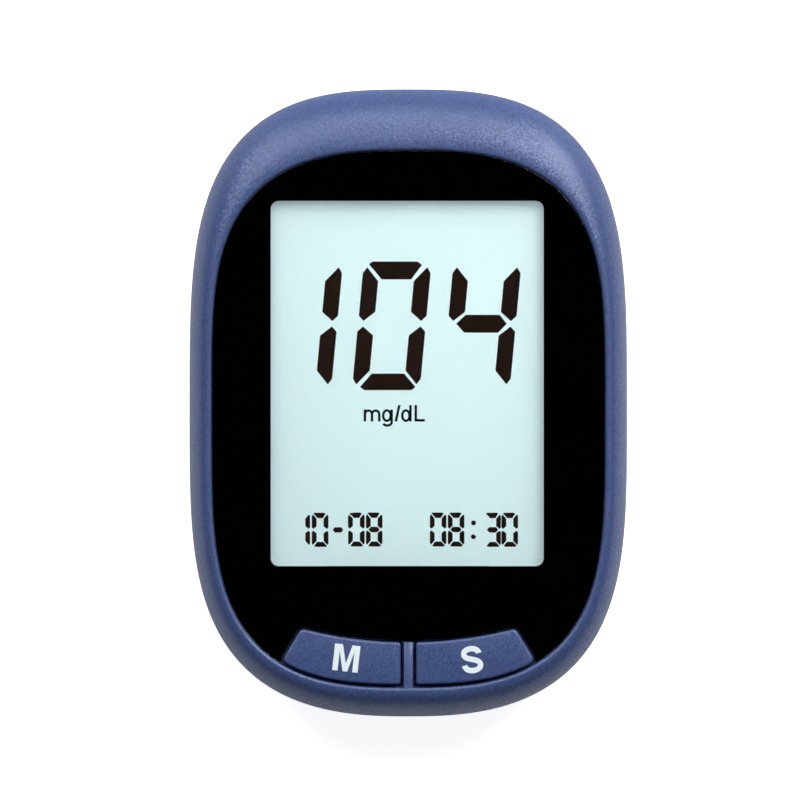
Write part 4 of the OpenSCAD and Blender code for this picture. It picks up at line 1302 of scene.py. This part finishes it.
welds = [box("bay", (-bay_x - bay_wall, bay_x + bay_wall),
             (bay_y[0] - bay_wall, bay_y[1] + bay_wall), (sill_z, bay_roof + bay_wall), 0.3),
         prism("sill", rounded_box(32, 62, door_corner, door_y), sill_z, sill_z + 1.2)]
holes = [box("bay_room", (-bay_x, bay_x), bay_y, (-past, bay_roof), 0.25),
         flared("door_place", door_recess, sill_z),
         flared("finger_place", finger_recess, 0.7, 0.35),
         box("snap_place", (-snap_place_half, snap_place_half), (-36.3, bay_y[0] - bay_wall),
             (-past, 3.8), 0.15),
         port_cutter()]
for side in both_sides:
    x = side * hook_x
    holes.append(box("hook_place", (x - hook_place_half, x + hook_place_half), (18.4, 23.7),
                     (1.5, 3.5)))
    x = side * cell_x
    holes.append(box("tab_slot", (x - tab_slot_half, x + tab_slot_half), (17.7, 18.6),
                     (11.9, 14.9)))
    for x, y in housing_posts:
        spot = (side * x, y)
        welds.append(rod(rear_post_r, *rear_post_z, spot))
        holes.append(turned("bore", bore_profile, spot))
        holes.append(rod(shaft_r, *shaft_z, spot))
weld(rear_shell, *welds)
cut(rear_shell, *holes)
dress(tidy(rear_shell), "case", "case_back", "rear_housing", finish=back_paint)

# ------------------------------------------------------------
# Housing screws. Four steel self-tapping screws with flat cross-recessed heads sit
# deep in their counterbores and pull the two housings together.
screw_set("cross_screws", housing_posts, 4.6, "housing_screws", Head_radius=2.0, Head_height=1.4,
          Shank_radius=1.0, Shank_length=9.0, Blade_width=0.56, Blade_length=2.2, Blade_depth=0.8)

# ------------------------------------------------------------
# Battery door. A flat lacquered ABS plate that lies flush in the back, with two
# hooks under the sill at its upper end, four grip grooves, a shallow field for the
# label, and a post that carries the snap.
door_edge = ((-0.25, 0.1), (-0.08, 0.17), (0, 0.35), (0, 1.5))
label_y = 2.0


def door_path(grown):
    """The door's outline, drawn in or grown."""
    return rounded_box(door_size[0] + 2 * grown, door_size[1] - 0.1 + 2 * grown,
                       door_corner + grown, door_y - 0.05)


door = loft("door_plate", [lift(door_path(grown), z) for grown, z in door_edge])
welds = [box("snap_post", (-snap_half, snap_half), (-33.75, -32.95), (1.4, 5.4), 0.1)]
for side in both_sides:
    hook_span = (side * hook_x - hook_half, side * hook_x + hook_half)
    welds.append(box("hook_root", hook_span, (20.4, 21.4), (1.4, 2.35)))
    welds.append(box("hook", hook_span, (20.4, 23.1), (1.6, 2.4), 0.15))
grooves = box("grooves", (-5.0, 5.0), (-31.5, -30.8), (-past, 0.45))
repeated(grooves, 4, (0, 1.6, 0), back_paint)
label_field = prism("label_field", rounded_box(20.4, 26.4, 1.2, label_y), -past, 0.2)
snap_gap = box("snap_gap", (-snap_gap_half, snap_gap_half), (-36, -34.2), (-past, 3), 0.2)
weld(door, *welds)
cut(door, grooves, label_field, snap_gap)
dress(tidy(door), "door", "case_back", "battery_door", finish=back_paint)

# ------------------------------------------------------------
# Door snap. A thin bent leg of the same ABS that hangs from the door's post; its
# nose springs under the edge of the case, and a fingertip bends it to open.
snap_path = rounded_path([(-36.0, 0.1, 0.2), (-35.1, 0.1, 0.2), (-35.1, 5.55, 0.25),
                          (-32.9, 5.55, 0.44), (-32.9, 6.45, 0.44), (-36.0, 6.45, 0.6)])
snap = lying(prism("door_snap", snap_path, -snap_half, snap_half))
nose_path = rounded_path([(-36.15, 2.15, 0.1), (-35.8, 2.15, 0), (-35.8, 2.85, 0),
                          (-36.15, 2.85, 0.1)])
weld(snap, lying(prism("nose", nose_path, -3.5, 3.5)))
dress(tidy(snap), "latch", "case_back", "door_latch", finish=back_paint)

# ------------------------------------------------------------
# Rear label. A blank die-cut label of white polyester film, stuck in the shallow
# field of the door.
label_film = grained("label_film", (214, 214, 212), (224, 224, 222), 0.38,
                     grain_size=0.4, depth=0.002)
label = loft("door_label", [lift(rounded_box(20 - 2 * inset, 26 - 2 * inset, 1 - inset, label_y), z)
                            for inset, z in ((0.05, 0.12), (0, 0.14), (0, 0.2))])
dress(label, "door", "label", "rear_label", finish=label_film)

# ------------------------------------------------------------
# Batteries. Two AAA cells, head to tail. A plain printed jacket is shrunk over the
# steel can and leaves the two ends and the button of the plus pole bare.
cell_jacket = grained("cell_jacket", (46, 84, 70), (58, 98, 82), 0.32,
                      grain_size=0.6, depth=0.004, Metallic=0.3)
cell_band = grained("cell_band", (188, 190, 192), (208, 210, 210), 0.35,
                    grain_size=0.6, depth=0.004, Metallic=0.6)
cell_z = 7.25
jacket_ends, band_from = (0.55, 42.95), 36.65
cell_profile = [(3.0, 0.12), (3.3, 0.0), (4.6, 0.0), (4.9, 0.15), (4.95, 0.5), (5.1, 0.55),
                (5.25, 0.75), (5.25, 36.6), (5.25, 36.7), (5.25, 42.7), (5.1, 42.9),
                (4.75, 42.95), (4.6, 43.1), (4.6, 43.35), (4.4, 43.4), (2.9, 43.3),
                (2.7, 43.2), (2.1, 43.2), (1.9, 43.4), (1.9, 44.2), (1.75, 44.42), (1.45, 44.5)]


def cell(name, x, first_y, way, node):
    """One cell that lies along Y from its minus end at first_y."""
    piece = turned(name, cell_profile, sides=64)
    turn = Matrix.Rotation(math.radians(-90 * way), 4, "X")
    piece.data.transform(Matrix.Translation((x * MM, first_y * MM, cell_z * MM)) @ turn)
    dress(piece, "case", "cell_jacket", node, finish=steel)
    piece.data.materials.append(cell_jacket)
    piece.data.materials.append(cell_band)
    for face in piece.data.polygons:
        depth = (face.center.y / MM - first_y) * way
        if jacket_ends[0] < depth < jacket_ends[1] and abs(face.normal.y) < 0.9:
            face.material_index = 2 if depth > band_from else 1
    return piece


cell("cell_left", -cell_x, -26.45, 1, "battery_left")
cell("cell_right", cell_x, 13.45, -1, "battery_right")

# ------------------------------------------------------------
# Battery contacts. Nickel-plated spring-steel plates stand in slots at both ends
# of the bay; the two at the upper end have tabs that are soldered to the board, and
# two cone springs press on the cells' minus ends.
plate_thick = 0.4
plate_y = bay_y[1] - plate_thick
plate_half = 3.6
plate_z = (3.8, 11.0)
for name, side, node in (("plus_plate", -1, "plus_contact"), ("minus_plate", 1, "minus_contact")):
    x = side * cell_x
    plate = box(name, (x - plate_half, x + plate_half), (plate_y, bay_y[1]), plate_z, 0.12)
    weld(plate, box("tab", (x - 1, x + 1), (plate_y + 0.02, bay_y[1] - 0.02), (10.7, 14.3)))
    dress(tidy(plate), "case", "steel", node, finish=steel)
link = box("link_plate", (-cell_x - plate_half, cell_x + plate_half),
           (bay_y[0], bay_y[0] + plate_thick), plate_z, 0.12)
dress(link, "case", "steel", "link_contact", finish=steel)

coil, given, result = new_group(
    "cone spring", "GeometryNodeTree",
    {"Nothing": "Geometry", "Turns": "Float", "Foot radius": "Float", "Head radius": "Float",
     "Height": "Float", "Wire radius": "Float", "Finish": "Material"}, {"Piece": "Geometry"})
helix = add_node(coil, "GeometryNodeCurveSpiral", {
    "Resolution": 40, "Rotations": given["Turns"], "Start Radius": given["Foot radius"],
    "End Radius": given["Head radius"], "Height": given["Height"]}).outputs[0]
ring_profile = add_node(coil, "GeometryNodeCurvePrimitiveCircle", {
    "Resolution": 12, "Radius": given["Wire radius"]}).outputs[0]
wire = add_node(coil, "GeometryNodeCurveToMesh", {
    "Curve": helix, "Profile Curve": ring_profile, "Fill Caps": True}).outputs[0]
finished(coil, wire, given["Finish"], result["Piece"])
wire_r = 0.25
for name, x, y, way, node in (("link_coil", -cell_x, bay_y[0] + plate_thick, 1, "link_spring"),
                              ("minus_coil", cell_x, plate_y, -1, "minus_spring")):
    spring = new_piece(name, [(0, 0, 0)])
    grow(spring, coil, {"Turns": 4.0, "Foot radius": 3.6 * MM, "Head radius": 2.2 * MM,
                        "Height": 4.15 * MM, "Wire radius": wire_r * MM, "Finish": steel})
    spring.data.transform(Matrix.Translation((x * MM, (y + way * wire_r) * MM, cell_z * MM))
                          @ Matrix.Rotation(math.radians(-90 * way), 4, "X"))
    dress(tidy(spring, 60.0), "case", "steel", node)

# ------------------------------------------------------------
# Studio. The meter lies on its back on a white table in a white surround, with
# tall soft lamps on the far side and a black card over the table, round the
# camera, that keeps the glossy lens black.
scene = bpy.context.scene
scene.view_settings.view_transform = "Standard"

camera_x, camera_y = -1.14, 0.39
photo_pixels = 800
camera = bpy.data.cameras.new("camera")
camera.sensor_width = 36.0
camera.lens = camera.sensor_width * camera_distance / (photo_pixels * photo_mm * MM)
camera.clip_end = 10.0
camera_object = bpy.data.objects.new("camera", camera)
camera_object.location = (camera_x * MM, camera_y * MM, seam_z * MM + camera_distance)
scene.collection.objects.link(camera_object)
scene.camera = camera_object


def lamp(name, azimuth, elevation, width, height, power):
    """A soft lamp 1 m away that faces the meter; azimuth 0 is on the strip port's side."""
    light = bpy.data.lights.new(name, "AREA")
    light.shape = "RECTANGLE"
    light.size, light.size_y = width, height
    light.energy = power
    a, e = math.radians(azimuth), math.radians(elevation)
    holder = bpy.data.objects.new(name, light)
    way = Vector((math.sin(a) * math.cos(e), math.cos(a) * math.cos(e), math.sin(e)))
    holder.location = way
    holder.rotation_euler = way.to_track_quat("Z", "Y").to_euler()
    holder.visible_camera = False
    scene.collection.objects.link(holder)


lamp("right_lamp", 40, 42, 0.45, 1.0, 9.3)
lamp("left_lamp", -38, 42, 0.45, 1.0, 4.9)
lamp("far_lamp", 0, 38, 0.4, 0.4, 1.8)
lamp("under_lamp", 0, -90, 0.8, 0.8, 9.0)

world = bpy.data.worlds.new("surround")
world.use_nodes = True
scene.world = world
tree = world.node_tree
direction = add_node(tree, "ShaderNodeSeparateXYZ",
                     [add_node(tree, "ShaderNodeTexCoord").outputs["Generated"]]).outputs[2]
fill_level = 0.12
card_edges = (0.80, 0.93)
card = add_node(tree, "ShaderNodeMapRange", [direction, *card_edges, fill_level, 0.0]).outputs[0]
paths = add_node(tree, "ShaderNodeLightPath").outputs
tree.links.new(calc(tree, "MAXIMUM", card, paths["Is Camera Ray"]),
               tree.nodes["Background"].inputs["Strength"])
tree.nodes["Background"].inputs["Color"].default_value = (1.0, 1.0, 1.0, 1.0)

# The table shows white to the camera, and from below it isn't seen at all.
table, tree, shader = new_material("white_table", srgb(236, 236, 238), 0.6)
noise = add_node(tree, "ShaderNodeTexNoise", {
    "Vector": add_node(tree, "ShaderNodeTexCoord").outputs["Object"], "Scale": 60.0}).outputs[0]
tree.links.new(mixed_colour(tree, noise, srgb(234, 234, 237), srgb(238, 238, 240)),
               shader.inputs["Base Color"])
paths = add_node(tree, "ShaderNodeLightPath").outputs
camera_glow, mirrored_glow = 0.87, 0.1
mirrored_part = calc(tree, "MULTIPLY", calc(tree, "MAXIMUM", paths["Is Glossy Ray"],
                                            paths["Is Transmission Ray"]), mirrored_glow)
strength = calc(tree, "MULTIPLY_ADD", paths["Is Camera Ray"], camera_glow, mirrored_part)
glow = add_node(tree, "ShaderNodeEmission", [(1.0, 1.0, 1.0, 1.0), strength])
seen = add_node(tree, "ShaderNodeAddShader", [shader.outputs[0], glow.outputs[0]])
passed = calc(tree, "MAXIMUM", paths["Is Shadow Ray"],
              add_node(tree, "ShaderNodeNewGeometry").outputs["Backfacing"])
shown = add_node(tree, "ShaderNodeMixShader",
                 [passed, seen.outputs[0], add_node(tree, "ShaderNodeBsdfTransparent").outputs[0]])
tree.links.new(shown.outputs[0], tree.nodes["Material Output"].inputs["Surface"])
table_reach, table_z = 3000, -0.02
corners = [(-table_reach, -table_reach), (table_reach, -table_reach),
           (table_reach, table_reach), (-table_reach, table_reach)]
floor = new_piece("table", lift(corners, table_z), [(0, 1, 2, 3)])
floor.data.materials.append(table)
